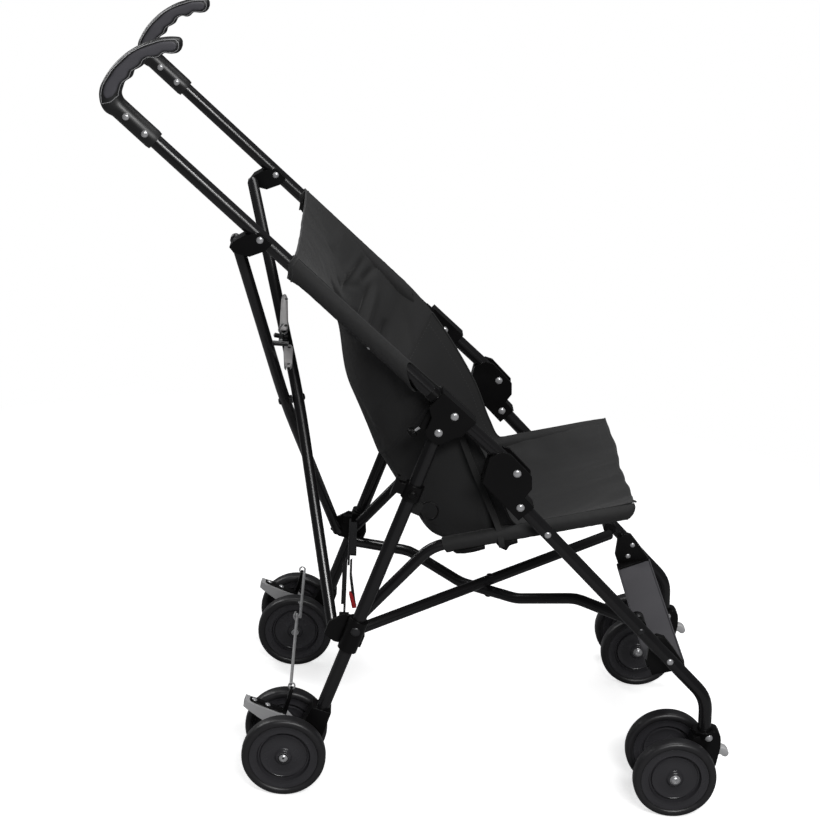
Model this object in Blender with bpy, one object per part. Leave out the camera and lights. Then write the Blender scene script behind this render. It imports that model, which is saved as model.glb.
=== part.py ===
# Folding umbrella buggy: two mirrored side frames of steel tube, joined by crossed struts at the back and
# crossed bars under the seat, with double wheels at each corner and a cloth seat hung between the tubes.
# Metres, +Z up, +X towards the front wheels, +Y to the child's left. The tyres stand on z = 0.

import math

import bmesh
import bpy
from mathutils import Matrix, Vector

# Driving dimensions

REAR_AXLE_X = -0.1716  # places the middle of the whole length on x = 0
WHEELBASE = 0.546
WHEEL_DIAMETER = 0.117
TYRE_WIDTH = 0.022
TYRE_DEPTH = 0.011
HUB_THICKNESS = 0.016
PAIR_HALF_SPACING = 0.042  # from a leg's plane to the middle of each of its two wheels
AXLE_RADIUS = 0.004
AXLE_OVERHANG = 0.004

SIDE_SPACING = 0.390  # between the middle planes of the two side frames
TUBE_RADIUS = 0.0095
TUBE_WALL = 0.0012
THIN_RADIUS = 0.008
THIN_WALL = 0.0012
CLEARANCE = 0.0003  # between pieces that seat on each other
CHEEK_WALL = 0.004  # plastic outside a tube in the blocks and brackets

KNEE_X = 0.287  # places along the side frame are measured from the rear axle
KNEE_Z = 0.4855
HANDLE_SLOPE = math.radians(39.7)
HANDLE_STUB = 0.009  # tube beyond the knee pivot
CLIP_DISTANCE = 0.4566  # from the knee, up the handle tube
SLEEVE_DISTANCE = 0.647
GRIP_STRAIGHT = 0.053
GRIP_SOCKET_DEPTH = 0.050

LEG_PIVOT_DISTANCE = 0.116  # the rear leg's pivot: up the handle tube from the knee
LEG_PIVOT_DROP = 0.031  # and below the tube's axis
REAR_LEG_SLOPE = math.radians(16.9)  # from the vertical
REAR_LEG_STUB = 0.010
REAR_LEG_LENGTH = 0.484
SEAT_NODE_DISTANCE = 0.3106  # down the rear leg, from its pivot

FRONT_LEG_OFFSET = 0.029  # the front leg's axis below the knee pivot
FRONT_LEG_SLOPE = math.radians(43.5)
FRONT_LEG_INSERT = 0.018  # tube inside the knee block, above the foot of the pivot's square to the leg
SEAT_PIN_DISTANCE = 0.0965  # down the front leg from the same foot
BAR_PIN_DISTANCE = 0.2934
FOOTREST_DISTANCE = 0.3560
LEG_BEND_DISTANCE = 0.437
LEG_BEND_RADIUS = 0.052
STEM_RAKE = math.radians(5.0)
STEM_LENGTH = 0.0620

SEAT_TUBE_INSET = 0.0237  # the seat tube's plane, inboard of the legs' plane
SEAT_TUBE_RISE = math.radians(51.0)
SEAT_TUBE_BEND_RADIUS = 0.060
SEAT_TUBE_FRONT_LENGTH = 0.118  # beyond its pin on the front leg
SEAT_TUBE_SLOPE = math.radians(15.0)

STRUT_END_Y = 0.171
STRUT_TOP_X = -0.1015
STRUT_TOP_Z = 0.7695
STRUT_FOOT_X = 0.0565
STRUT_FOOT_Z = 0.2255
STRUT_SPLIT = 0.0205  # between the two struts' axes where they cross
BAR_END_Y = 0.155
BAR_REAR_X = 0.0885
BAR_REAR_Z = 0.2150
BAR_FRONT_X = 0.4800
BAR_FRONT_Z = 0.2540
BAR_DIP = 0.0170  # how far the lower bar passes under the other

STAY_Z = 0.600  # the small folding stay between the struts
STAY_Y = 0.066
STAY_SPLIT_X = -0.0316  # between its two arms, which lie side by side
STAY_THICKNESS = 0.003
LOCK_X = 0.0730  # the folding lock between the rear legs
LOCK_Y = 0.166
LOCK_Z = 0.2445
LOCK_WIDTH = 0.012
LOCK_DEPTH = 0.014
LOCK_THICKNESS = 0.0028
LOCK_LEVER_LENGTH = 0.066
BRAKE_ROD_RADIUS = 0.0022
BRAKE_ROD_X = 0.006
BRAKE_ROD_Y = 0.188
BRAKE_ROD_END_Z = 0.143
BRAKE_ROD_MID_Z = 0.157

CLOTH_THICKNESS = 0.0018
CLOTH_TOP_DISTANCE = 0.410
CLOTH_TUBE_END = 0.156
BACK_MIDDLE = ((-0.018, 0.745), (0.012, 0.690), (0.042, 0.625), (0.061, 0.545), (0.077, 0.490), (0.106, 0.430))
SEAT_MIDDLE = ((0.1075, 0.4275), (0.133, 0.383), (0.166, 0.343), (0.206, 0.325), (0.250, 0.321), (0.310, 0.335),
               (0.380, 0.375), (0.446, 0.424))
WING_EDGE = ((0.180, 0.170, 0.566), (0.222, 0.165, 0.525), (0.262, 0.162, 0.455))

FOOTREST_WIDTH = 0.052
FOOTREST_THICKNESS = 0.004
FOOTREST_TILT = math.radians(14.0)
FOOTREST_X = 0.527
FOOTREST_Z = 0.196

ROUND_SIDES = 24
TUBE_SIDES_RESOLUTION = 3

WHEEL_RADIUS = WHEEL_DIAMETER / 2
SIDE_Y = SIDE_SPACING / 2
BORE = TUBE_RADIUS + CLEARANCE
BLOCK_HALF = BORE + CHEEK_WALL
SIDES = (("right", -1.0), ("left", 1.0))

BLACK_PAINT = ((0.012, 0.012, 0.014), 0.28, 0.0)
BLACK_PLASTIC = ((0.018, 0.018, 0.020), 0.45, 0.0)
GREY_PLASTIC = ((0.075, 0.075, 0.082), 0.55, 0.0)
BLACK_RUBBER = ((0.022, 0.022, 0.023), 0.62, 0.0)
STEEL = ((0.60, 0.60, 0.61), 0.30, 1.0)
DARK_CLOTH = ((0.028, 0.028, 0.030), 0.85, 0.0)


def direction(angle):
    """The unit vector in the side plane at this angle from +X towards +Z."""
    return Vector((math.cos(angle), 0.0, math.sin(angle)))


KNEE = Vector((KNEE_X, 0.0, KNEE_Z))
UP_HANDLE = direction(math.pi - HANDLE_SLOPE)
HANDLE_SIDE = direction(math.pi / 2 - HANDLE_SLOPE)  # square to the handle tube, towards the front
DOWN_REAR_LEG = direction(-math.pi / 2 - REAR_LEG_SLOPE)
DOWN_FRONT_LEG = direction(-FRONT_LEG_SLOPE)
FRONT_LEG_SIDE = direction(-math.pi / 2 - FRONT_LEG_SLOPE)
LEG_PIVOT = KNEE + UP_HANDLE * LEG_PIVOT_DISTANCE - HANDLE_SIDE * LEG_PIVOT_DROP
SEAT_NODE = LEG_PIVOT + DOWN_REAR_LEG * SEAT_NODE_DISTANCE
CLIP = KNEE + UP_HANDLE * CLIP_DISTANCE
LEG_FOOT = KNEE + FRONT_LEG_SIDE * FRONT_LEG_OFFSET  # the pivot's nearest point on the front leg's axis
SEAT_PIN = LEG_FOOT + DOWN_FRONT_LEG * SEAT_PIN_DISTANCE
BAR_PIN = LEG_FOOT + DOWN_FRONT_LEG * BAR_PIN_DISTANCE
FOOTREST_PIN = LEG_FOOT + DOWN_FRONT_LEG * FOOTREST_DISTANCE
DOWN_STEM = direction(-math.pi / 2 + STEM_RAKE)
REAR_AXLE = Vector((0.0, 0.0, WHEEL_RADIUS))
PEDAL_PIN = Vector((0.004, 0.0, 0.0875))
FRONT_AXLE = Vector((WHEELBASE, 0.0, WHEEL_RADIUS))


# Tools: each one returns a closed helper mesh, with x still measured from the rear axle


def clear_scene():
    for obj in list(bpy.data.objects):
        bpy.data.objects.remove(obj)


def new_collection(name, hidden):
    collection = bpy.data.collections.new(name)
    bpy.context.scene.collection.children.link(collection)
    collection.hide_render = hidden
    return collection


clear_scene()
PARTS = new_collection("stroller", False)
HELPERS = new_collection("cutters", True)


def helper(points, faces):
    """A closed mesh from points and faces, with its faces turned outwards."""
    mesh = bpy.data.meshes.new("helper")
    mesh.from_pydata([tuple(p) for p in points], [], faces)
    work = bmesh.new()
    work.from_mesh(mesh)
    bmesh.ops.recalc_face_normals(work, faces=work.faces[:])
    if work.calc_volume(signed=True) < 0:
        bmesh.ops.reverse_faces(work, faces=work.faces[:])
    work.to_mesh(mesh)
    work.free()
    obj = bpy.data.objects.new("helper", mesh)
    obj.hide_render = True
    obj.display_type = "WIRE"
    HELPERS.objects.link(obj)
    return obj


def slab(outline, along):
    """A flat outline, as 3-D points, made solid by moving it along a vector."""
    count = len(outline)
    points = [Vector(p) for p in outline]
    points += [p + Vector(along) for p in points]
    faces = [list(range(count)), list(range(2 * count - 1, count - 1, -1))]
    for i in range(count):
        j = (i + 1) % count
        faces.append([i, j, count + j, count + i])
    return helper(points, faces)


def profile(outline, low_w, high_w):
    """An outline in the side plane, as (x, z), made solid between two distances outboard of that plane."""
    return slab([(x, SIDE_Y + low_w, z) for x, z in outline], (0.0, high_w - low_w, 0.0))


def box(low, high):
    x0, y0, z0 = low
    x1, y1, z1 = high
    return slab([(x0, y0, z0), (x1, y0, z0), (x1, y1, z0), (x0, y1, z0)], (0.0, 0.0, z1 - z0))


def square_to(axis):
    """Two unit vectors square to this one and to each other."""
    axis = Vector(axis).normalized()
    other = Vector((0.0, 0.0, 1.0)) if abs(axis.z) < 0.9 else Vector((1.0, 0.0, 0.0))
    first = axis.cross(other).normalized()
    return first, axis.cross(first)


def turned(rings, base, axis, sides=ROUND_SIDES, phase=0.0):
    """A solid of revolution from (radius, height) pairs. It is a ring unless it starts and ends on its axis."""
    axis = Vector(axis).normalized()
    first, second = square_to(axis)
    points = []
    spans = []
    for radius, height in rings:
        centre = Vector(base) + axis * height
        count = 1 if radius == 0 else sides
        spans.append((len(points), count))
        for i in range(count):
            angle = 2 * math.pi * (i + phase) / sides
            points.append(centre + (first * math.cos(angle) + second * math.sin(angle)) * radius)
    faces = []
    closed = rings[0][0] > 0 and rings[-1][0] > 0
    for k in range(len(rings) if closed else len(rings) - 1):
        start, count = spans[k]
        after, other = spans[(k + 1) % len(rings)]
        for i in range(sides):
            j = (i + 1) % sides
            if count == 1:
                faces.append([start, after + i, after + j])
            elif other == 1:
                faces.append([start + i, after, start + j])
            else:
                faces.append([start + i, after + i, after + j, start + j])
    return helper(points, faces)


def rod(start, end, radius, sides=ROUND_SIDES):
    axis = Vector(end) - Vector(start)
    return turned([(0, 0), (radius, 0), (radius, axis.length), (0, axis.length)], start, axis, sides)


def dome(base, axis, radius, height, sides=12):
    """A rivet's head, set a little into the face that it stands on."""
    rings = [(0, -0.001), (radius, -0.001), (radius, height * 0.35), (radius * 0.7, height * 0.8), (0, height)]
    return turned(rings, base, axis, sides)


def rounded_path(corners, radii, steps=6):
    """The points of a path through these corners, each inner corner rounded to its radius."""
    points = [Vector(corners[0])]
    for i in range(1, len(corners) - 1):
        here = Vector(corners[i])
        back = (Vector(corners[i - 1]) - here).normalized()
        ahead = (Vector(corners[i + 1]) - here).normalized()
        half = back.angle(ahead) / 2
        radius = radii[i - 1]
        centre = here + (back + ahead).normalized() * (radius / math.sin(half))
        reach = radius / math.tan(half)
        start = (here + back * reach - centre).normalized()
        end = (here + ahead * reach - centre).normalized()
        for k in range(steps + 1):
            points.append(centre + start.slerp(end, k / steps) * radius)
    points.append(Vector(corners[-1]))
    return points


def frames_along(path):
    """For each point of the path, two vectors square to it that don't twist from one point to the next."""
    tangents = []
    for i in range(len(path)):
        before = path[max(i - 1, 0)]
        after = path[min(i + 1, len(path) - 1)]
        tangents.append((after - before).normalized())
    side, _ = square_to(tangents[0])
    frames = []
    for tangent in tangents:
        side = (side - tangent * side.dot(tangent)).normalized()
        frames.append((side, tangent.cross(side)))
    return frames


def sweep(path, radii, sides=14):
    """A solid of round section along a path, with a radius at each point, closed by flat ends."""
    points = []
    for centre, (first, second), radius in zip(path, frames_along(path), radii):
        for i in range(sides):
            angle = 2 * math.pi * i / sides
            points.append(centre + (first * math.cos(angle) + second * math.sin(angle)) * radius)
    count = len(path)
    faces = [list(range(sides)), list(range(count * sides - 1, (count - 1) * sides - 1, -1))]
    for k in range(count - 1):
        for i in range(sides):
            j = (i + 1) % sides
            faces.append([k * sides + i, (k + 1) * sides + i, (k + 1) * sides + j, k * sides + j])
    return helper(points, faces)


def pipe(path, radius, wall, sides=14, capped=False):
    """A hollow tube along a path. Capped closes its first end with a rounded plug; the last end stays open."""
    frames = frames_along(path)
    ring = [2 * math.pi * i / sides for i in range(sides)]

    def around(centre, frame, size):
        return [centre + (frame[0] * math.cos(a) + frame[1] * math.sin(a)) * size for a in ring]

    loops = [around(path[k], frames[k], radius - wall) for k in range(len(path))]
    if capped:
        inward = (path[0] - path[1]).normalized()
        loops[0] = around(path[0] - inward * wall * 2, frames[0], radius - wall)
    loops += [around(path[k], frames[k], radius) for k in reversed(range(len(path)))]
    if capped:
        for turn in (0.5, 0.85):
            centre = path[0] + inward * radius * math.sin(turn * math.pi / 2)
            loops.append(around(centre, frames[0], radius * math.cos(turn * math.pi / 2)))
    points = [p for loop in loops for p in loop]
    faces = []
    for k in range(len(loops) - (1 if capped else 0)):
        start = k * sides
        after = ((k + 1) % len(loops)) * sides
        for i in range(sides):
            j = (i + 1) % sides
            faces.append([start + i, after + i, after + j, start + j])
    if capped:
        faces.append(list(range(sides)))
        faces.append([(len(loops) - 1) * sides + i for i in range(sides)])
    return helper(points, faces)


def changed(body, tools, operation):
    """The body after a Boolean with each tool in turn. The tools are used up."""
    for tool in tools:
        modifier = body.modifiers.new("cut", "BOOLEAN")
        modifier.operation = operation
        modifier.solver = "EXACT"
        modifier.object = tool
        bpy.context.view_layer.update()
        graph = bpy.context.evaluated_depsgraph_get()
        mesh = bpy.data.meshes.new_from_object(body.evaluated_get(graph))
        body.modifiers.clear()
        body.data = mesh
        bpy.data.objects.remove(tool)
    return body


def joined(body, *others):
    return changed(body, others, "UNION")


def cut(body, *others):
    return changed(body, others, "DIFFERENCE")


MATERIALS = {}


def material(look):
    if look not in MATERIALS:
        color, roughness, metallic = look
        made = bpy.data.materials.new("material_%d" % len(MATERIALS))
        made.use_nodes = True
        shader = made.node_tree.nodes["Principled BSDF"]
        shader.inputs["Base Color"].default_value = (*color, 1.0)
        shader.inputs["Roughness"].default_value = roughness
        shader.inputs["Metallic"].default_value = metallic
        made.diffuse_color = (*color, 1.0)
        MATERIALS[look] = made
    return MATERIALS[look]


def node(name, body, look, origin, mirrored=False):
    """Makes a helper into a named part with its origin on its joint, on the other side of the buggy if mirrored."""
    origin = Vector(origin)
    mesh = bpy.data.meshes.new(name)
    work = bmesh.new()
    work.from_mesh(body.data)
    bmesh.ops.remove_doubles(work, verts=work.verts[:], dist=0.000001)
    bmesh.ops.translate(work, verts=work.verts[:], vec=-origin)
    if mirrored:
        bmesh.ops.scale(work, verts=work.verts[:], vec=(1.0, -1.0, 1.0))
        bmesh.ops.reverse_faces(work, faces=work.faces[:])
        origin.y = -origin.y
    work.to_mesh(mesh)
    work.free()
    mesh.materials.clear()
    mesh.materials.append(material(look))
    obj = bpy.data.objects.new(name, mesh)
    obj.location = origin + Vector((REAR_AXLE_X, 0.0, 0.0))
    PARTS.objects.link(obj)
    for polygon in mesh.polygons:
        polygon.use_smooth = True
        polygon.material_index = 0
    mesh.set_sharp_from_angle(angle=math.radians(35))
    return obj


def pair(name, build, look, origin):
    """The same part on both sides, the right one being the mirror image of the left one."""
    body = build()
    origin = Vector(origin)
    node(name + "_left", body, look, origin)
    node(name + "_right", body, look, origin, mirrored=True)
    bpy.data.objects.remove(body)


def at_side(point, w=0.0):
    """A point of the side plane, this far outboard of it, on the left."""
    return Vector((point.x, SIDE_Y + w, point.z))


def across(point, low_w, high_w, radius, sides=ROUND_SIDES):
    """A pin square to the side plane."""
    return rod(at_side(point, low_w), at_side(point, high_w), radius, sides)


def rivets(body, points, w, radius=0.0042, height=0.0018):
    """Domed heads on the face this far outboard, or inboard when w is negative."""
    out = 1.0 if w > 0 else -1.0
    heads = [dome(at_side(p, w), (0.0, out, 0.0), radius, height) for p in points]
    return joined(body, *heads)


def on_handle(u, h):
    """A side-plane point this far up the handle tube from the knee, and this far off its axis."""
    return KNEE + UP_HANDLE * u + HANDLE_SIDE * h


def on_leg(e, n):
    """A side-plane point this far down the front leg from the foot of the knee's square, and this far off it."""
    return LEG_FOOT + DOWN_FRONT_LEG * e + FRONT_LEG_SIDE * n


def on_rear(d, p):
    """A side-plane point this far down the rear leg from its pivot, and this far in front of it."""
    return LEG_PIVOT + DOWN_REAR_LEG * d + direction(-REAR_LEG_SLOPE) * p


def flat(points):
    return [(p.x, p.z) for p in points]


# The handle tube, with the grip on its top end


def handle_tube():
    body = pipe([at_side(on_handle(-HANDLE_STUB, 0)), at_side(on_handle(SLEEVE_DISTANCE + 0.046, 0))],
                TUBE_RADIUS, TUBE_WALL, 16)
    return cut(body, across(KNEE, -0.02, 0.02, 0.0038, 12))


pair("handle_tube", handle_tube, BLACK_PAINT, at_side(KNEE))


def grip_path():
    corners = [on_handle(SLEEVE_DISTANCE, 0), on_handle(0.731, 0), on_handle(0.731, 0.055), on_handle(0.696, 0.1105)]
    return rounded_path([at_side(p) for p in corners], [0.030, 0.060], 4)


def handle_grip():
    path = grip_path()
    last = len(path) - 1
    radii = []
    for i in range(last + 1):
        share = i / last
        radii.append(0.0130 + 0.0016 * math.sin(math.pi * min(share / 0.9, 1.0)) - 0.0025 * share)
    tip = (path[-1] - path[-2]).normalized()
    for turn in (0.5, 0.85):
        path.append(path[last] + tip * radii[last] * math.sin(turn * math.pi / 2))
        radii.append(radii[last] * math.cos(turn * math.pi / 2))
    body = sweep(path, radii, 16)
    start = on_handle(SLEEVE_DISTANCE - 0.01, 0)
    end = on_handle(SLEEVE_DISTANCE + GRIP_SOCKET_DEPTH - 0.0035, 0)
    body = cut(body, rod(at_side(start), at_side(end), BORE, 24))
    return rivets(body, [on_handle(0.657, 0), on_handle(0.688, 0)], 0.0128)


pair("handle_grip", handle_grip, BLACK_RUBBER, at_side(on_handle(SLEEVE_DISTANCE, 0)))


# What is fixed to the handle tube: the clip that holds a rear strut, and the bracket that holds the rear leg


def strut_clip():
    corners = [(0.4476, 0.0060), (0.4680, 0.0060), (0.4805, -0.0105), (0.4850, -0.0250), (0.4840, -0.0345),
               (0.4750, -0.0360), (0.4570, -0.0260), (0.4476, -0.0071)]
    outline = flat([on_handle(u, h) for u, h in corners])
    body = profile(outline, -BLOCK_HALF, BLOCK_HALF)
    body = cut(body, rod(at_side(on_handle(0.43, 0)), at_side(on_handle(0.50, 0)), BORE))
    top = Vector((STRUT_TOP_X, 0.0, STRUT_TOP_Z))
    pin = across(top, -0.0156, -BLOCK_HALF + 0.002, 0.0045, 12)
    body = joined(body, pin)
    return rivets(body, [on_handle(0.4620, -0.0010)], BLOCK_HALF)


pair("strut_clip", strut_clip, BLACK_PLASTIC, at_side(CLIP))


def leg_bracket():
    corners = [(0.090, 0.0138), (0.150, 0.0138), (0.150, -0.0138), (0.137, -0.0220), (0.130, -0.0400),
               (0.124, -0.0455), (0.108, -0.0455), (0.102, -0.0400), (0.096, -0.0220), (0.090, -0.0138)]
    outline = flat([on_handle(u, h) for u, h in corners])
    body = profile(outline, -BLOCK_HALF, BLOCK_HALF)
    bore = rod(at_side(on_handle(0.08, 0)), at_side(on_handle(0.16, 0)), BORE)
    corners = [(0.06, -0.0172), (0.17, -0.0172), (0.17, -0.08), (0.06, -0.08)]
    slot = profile(flat([on_handle(u, h) for u, h in corners]), -BORE, BORE)
    body = cut(body, bore, slot)
    body = joined(body, across(LEG_PIVOT, -BLOCK_HALF - 0.0008, BLOCK_HALF + 0.001, 0.0035, 12))
    return rivets(body, [on_handle(0.1165, 0), LEG_PIVOT], BLOCK_HALF, 0.0050, 0.0020)


pair("leg_bracket", leg_bracket, BLACK_PLASTIC, at_side(on_handle(LEG_PIVOT_DISTANCE, 0)))


# The front leg, in the knee block that turns on the handle tube's lower end


def knee_block():
    corners = [(-0.042, -0.0170), (-0.036, -0.0350), (-0.026, -0.0405), (0.017, -0.0405), (0.030, -0.0290),
               (0.033, -0.0138), (0.052, -0.0138), (0.052, 0.0138), (-0.021, 0.0138)]
    body = profile(flat([on_leg(e, n) for e, n in corners]), -BLOCK_HALF, BLOCK_HALF)
    corners = [(-0.08, -0.0152), (0.08, -0.0152), (0.08, -0.08), (-0.08, -0.08)]
    slot = profile(flat([on_leg(e, n) for e, n in corners]), -BORE, BORE)
    bore = rod(at_side(on_leg(-FRONT_LEG_INSERT - CLEARANCE, 0)), at_side(on_leg(0.08, 0)), BORE)
    body = cut(body, slot, bore)
    body = joined(body, across(KNEE, -BLOCK_HALF - 0.0008, BLOCK_HALF + 0.001, 0.0035, 12))
    return rivets(body, [KNEE, on_leg(0.040, 0)], BLOCK_HALF, 0.0050, 0.0020)


pair("knee_block", knee_block, BLACK_PLASTIC, at_side(KNEE))


def stem_corner():
    return on_leg(LEG_BEND_DISTANCE, 0)


def on_stem(distance, forward=0.0):
    return stem_corner() + DOWN_STEM * distance + direction(STEM_RAKE) * forward


def front_leg():
    corners = [on_leg(-FRONT_LEG_INSERT, 0), stem_corner(), on_stem(STEM_LENGTH)]
    body = pipe(rounded_path([at_side(p) for p in corners], [LEG_BEND_RADIUS], 5), TUBE_RADIUS, TUBE_WALL, 16)
    boss = across(SEAT_PIN, -0.0129, -0.0075, 0.0060, 12)
    return joined(body, boss)


pair("front_leg", front_leg, BLACK_PAINT, at_side(KNEE))


def bar_bracket():
    start = on_leg(BAR_PIN_DISTANCE - 0.016, 0)
    end = on_leg(BAR_PIN_DISTANCE + 0.016, 0)
    body = rod(at_side(start), at_side(end), BLOCK_HALF - 0.0005)
    arm = across(BAR_PIN, -0.0294, -0.0080, 0.0065, 16)
    body = joined(body, arm)
    body = cut(body, rod(at_side(on_leg(0.20, 0)), at_side(on_leg(0.36, 0)), BORE))
    return rivets(body, [BAR_PIN], BLOCK_HALF - 0.0006)


pair("bar_bracket", bar_bracket, BLACK_PLASTIC, at_side(BAR_PIN))


# The rear leg, with what is fixed to it


def rear_leg():
    body = pipe([at_side(on_rear(-REAR_LEG_STUB, 0)), at_side(on_rear(REAR_LEG_LENGTH, 0))],
                TUBE_RADIUS, TUBE_WALL, 16)
    return cut(body, across(LEG_PIVOT, -0.02, 0.02, 0.0038, 12))


pair("rear_leg", rear_leg, BLACK_PAINT, at_side(LEG_PIVOT))


def leg_clamp():
    body = rod(at_side(on_rear(0.083, 0)), at_side(on_rear(0.105, 0)), BLOCK_HALF - 0.0005)
    corners = [(0.086, -0.0105), (0.086, -0.0230), (0.079, -0.0230), (0.079, -0.0270), (0.109, -0.0270),
               (0.109, -0.0230), (0.102, -0.0230), (0.102, -0.0105)]
    flange = profile(flat([on_rear(d, p) for d, p in corners]), -0.0050, 0.0050)
    body = joined(body, flange)
    body = cut(body, rod(at_side(on_rear(0.07, 0)), at_side(on_rear(0.12, 0)), BORE))
    return rivets(body, [on_rear(0.094, 0)], BLOCK_HALF - 0.0006, 0.0060, 0.0045)


pair("leg_clamp", leg_clamp, BLACK_PLASTIC, at_side(on_rear(0.094, 0)))


def seat_node():
    body = rod(at_side(on_rear(SEAT_NODE_DISTANCE - 0.014, 0)), at_side(on_rear(SEAT_NODE_DISTANCE + 0.034, 0)),
               BLOCK_HALF)
    corners = [(SEAT_NODE_DISTANCE - 0.010, -0.020), (SEAT_NODE_DISTANCE - 0.012, 0.008),
               (SEAT_NODE_DISTANCE + 0.012, 0.018), (SEAT_NODE_DISTANCE + 0.030, 0.018),
               (SEAT_NODE_DISTANCE + 0.034, -0.020), (SEAT_NODE_DISTANCE + 0.028, -0.036),
               (SEAT_NODE_DISTANCE + 0.008, -0.036)]
    ear = profile(flat([on_rear(d, p) for d, p in corners]), -BLOCK_HALF, -BORE + 0.001)
    body = joined(body, ear)
    body = cut(body, rod(at_side(on_rear(0.25, 0)), at_side(on_rear(0.40, 0)), BORE))
    rear = Vector((BAR_REAR_X, 0.0, BAR_REAR_Z))
    body = joined(body, across(SEAT_NODE, -0.0330, -BORE - 0.001, 0.0035, 12),
                  across(rear, -0.0316, -BORE - 0.001, 0.0055, 12))
    lug = box((LOCK_X - 0.009, LOCK_Y + 0.0056, LOCK_Z - 0.006), (LOCK_X + 0.0045, SIDE_Y - 0.012, LOCK_Z + 0.006))
    body = joined(body, lug)
    return rivets(body, [SEAT_NODE], BLOCK_HALF - 0.0003, 0.0060, 0.0015)


pair("seat_node", seat_node, BLACK_PLASTIC, at_side(SEAT_NODE))


def seat_tube():
    rise = direction(SEAT_TUBE_RISE)
    slope = direction(SEAT_TUBE_SLOPE)
    gap = SEAT_PIN - SEAT_NODE
    bend_reach = (gap.x * slope.z - gap.z * slope.x) / (rise.x * slope.z - rise.z * slope.x)
    corners = [SEAT_NODE - rise * 0.010, SEAT_NODE + rise * bend_reach, SEAT_PIN + slope * SEAT_TUBE_FRONT_LENGTH]
    path = rounded_path([at_side(p, -SEAT_TUBE_INSET) for p in corners], [SEAT_TUBE_BEND_RADIUS], 4)
    body = pipe(path, THIN_RADIUS, THIN_WALL)
    return cut(body, across(SEAT_NODE, -0.04, -0.01, 0.0038, 12))


pair("seat_tube", seat_tube, BLACK_PAINT, at_side(SEAT_NODE, -SEAT_TUBE_INSET))


# Wheels: each corner has two, turning on one steel axle in a plastic housing


WHEEL_PAIR_REACH = PAIR_HALF_SPACING + HUB_THICKNESS / 2 + 0.0006


def axle(centre):
    """A steel axle straight across the side plane, with its spacers inside the wheels and its two end caps."""
    reach = WHEEL_PAIR_REACH
    inside = PAIR_HALF_SPACING - HUB_THICKNESS / 2 - 0.0006
    half = [(0.0075, inside), (AXLE_RADIUS, inside), (AXLE_RADIUS, reach), (0.0072, reach), (0.0072, reach + 0.0012),
            (0.0050, reach + 0.0024), (0, reach + 0.0028)]
    rings = [(r, -w) for r, w in reversed(half)] + half
    return turned(rings, at_side(centre), (0.0, 1.0, 0.0), 16)


def rear_housing():
    corners = [(0.0619, 0.1112), (0.0520, 0.0760), (0.0445, 0.0590), (0.0330, 0.0510), (0.0000, 0.0450),
               (-0.0095, 0.0490), (-0.0135, 0.0585), (-0.0095, 0.0680), (0.0000, 0.0730), (0.0180, 0.0800),
               (0.0355, 0.1192)]
    body = profile(corners, -BLOCK_HALF, BLOCK_HALF)
    bore = rod(at_side(on_rear(REAR_LEG_LENGTH + CLEARANCE, 0)), at_side(on_rear(0.36, 0)), BORE)
    body = cut(body, bore)
    for low_w, high_w in ((-BLOCK_HALF, -0.0101), (0.0101, BLOCK_HALF)):
        ear = [(-0.0030, 0.0700), (0.0120, 0.0760), (0.0105, 0.0900), (0.0065, 0.0940), (0.0010, 0.0940), (-0.0025, 0.0890)]
        body = joined(body, profile(ear, low_w, high_w))
    pin = across(PEDAL_PIN, -BLOCK_HALF - 0.0010, BLOCK_HALF + 0.0010, 0.0025, 12)
    return joined(body, pin, axle(REAR_AXLE))


pair("rear_housing", rear_housing, BLACK_PLASTIC, at_side(REAR_AXLE))


def caster_housing():
    outline = [on_stem(0.0330, -0.0138), on_stem(0.0330, 0.0138), on_stem(0.0720, 0.0138),
               on_stem(0.0790, 0.0080)]
    corners = flat(outline) + [(0.5720, 0.0560), (0.5500, 0.0440), (0.5380, 0.0450), (0.5325, 0.0560),
                               (0.5360, 0.0690), (0.5480, 0.0780), (0.5640, 0.0900)]
    body = profile(corners, -BLOCK_HALF, BLOCK_HALF)
    bore = rod(at_side(on_stem(STEM_LENGTH + CLEARANCE)), at_side(on_stem(0.02)), BORE)
    body = cut(body, bore)
    body = joined(body, axle(FRONT_AXLE))
    return rivets(body, [on_stem(0.0570, 0.0040)], BLOCK_HALF, 0.0050, 0.0020)


pair("caster_housing", caster_housing, BLACK_PLASTIC, at_side(stem_corner()))


def caster_lock():
    """The lever in front of the caster, hinged low on its housing."""
    corners = [on_stem(0.0600, 0.0142), on_stem(0.0640, 0.0200), on_stem(0.0800, 0.0290), on_stem(0.0830, 0.0270),
               on_stem(0.0740, 0.0180), on_stem(0.0700, 0.0142)]
    return profile(flat(corners), -0.0090, 0.0090)


pair("caster_lock", caster_lock, GREY_PLASTIC, at_side(on_stem(0.0650, 0.0160)))


def tyre():
    """The tyre stands on one of its flat facets, so its corners lie a little outside its radius."""
    half = TYRE_WIDTH / 2
    rim = WHEEL_RADIUS - TYRE_DEPTH
    spread = 1 / math.cos(math.pi / ROUND_SIDES)
    rings = [(rim, -half * 0.72), (rim + 0.0035, -half), (WHEEL_RADIUS - 0.0025, -half * 0.80),
             (WHEEL_RADIUS, -half * 0.36), (WHEEL_RADIUS, half * 0.36), (WHEEL_RADIUS - 0.0025, half * 0.80),
             (rim + 0.0035, half), (rim, half * 0.72)]
    return turned([(r * spread, w) for r, w in rings], (0, 0, 0), (0, 1, 0), ROUND_SIDES, 0.5)


def hub():
    half = HUB_THICKNESS / 2
    rim = WHEEL_RADIUS - TYRE_DEPTH - CLEARANCE
    side = [(AXLE_RADIUS + CLEARANCE, half), (0.0100, half), (0.0130, half * 0.50), (0.0320, half * 0.45),
            (rim, half * 0.90)]
    rings = side + [(r, -w) for r, w in reversed(side)]
    return turned(rings, (0, 0, 0), (0, 1, 0), ROUND_SIDES, 0.5)


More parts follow.
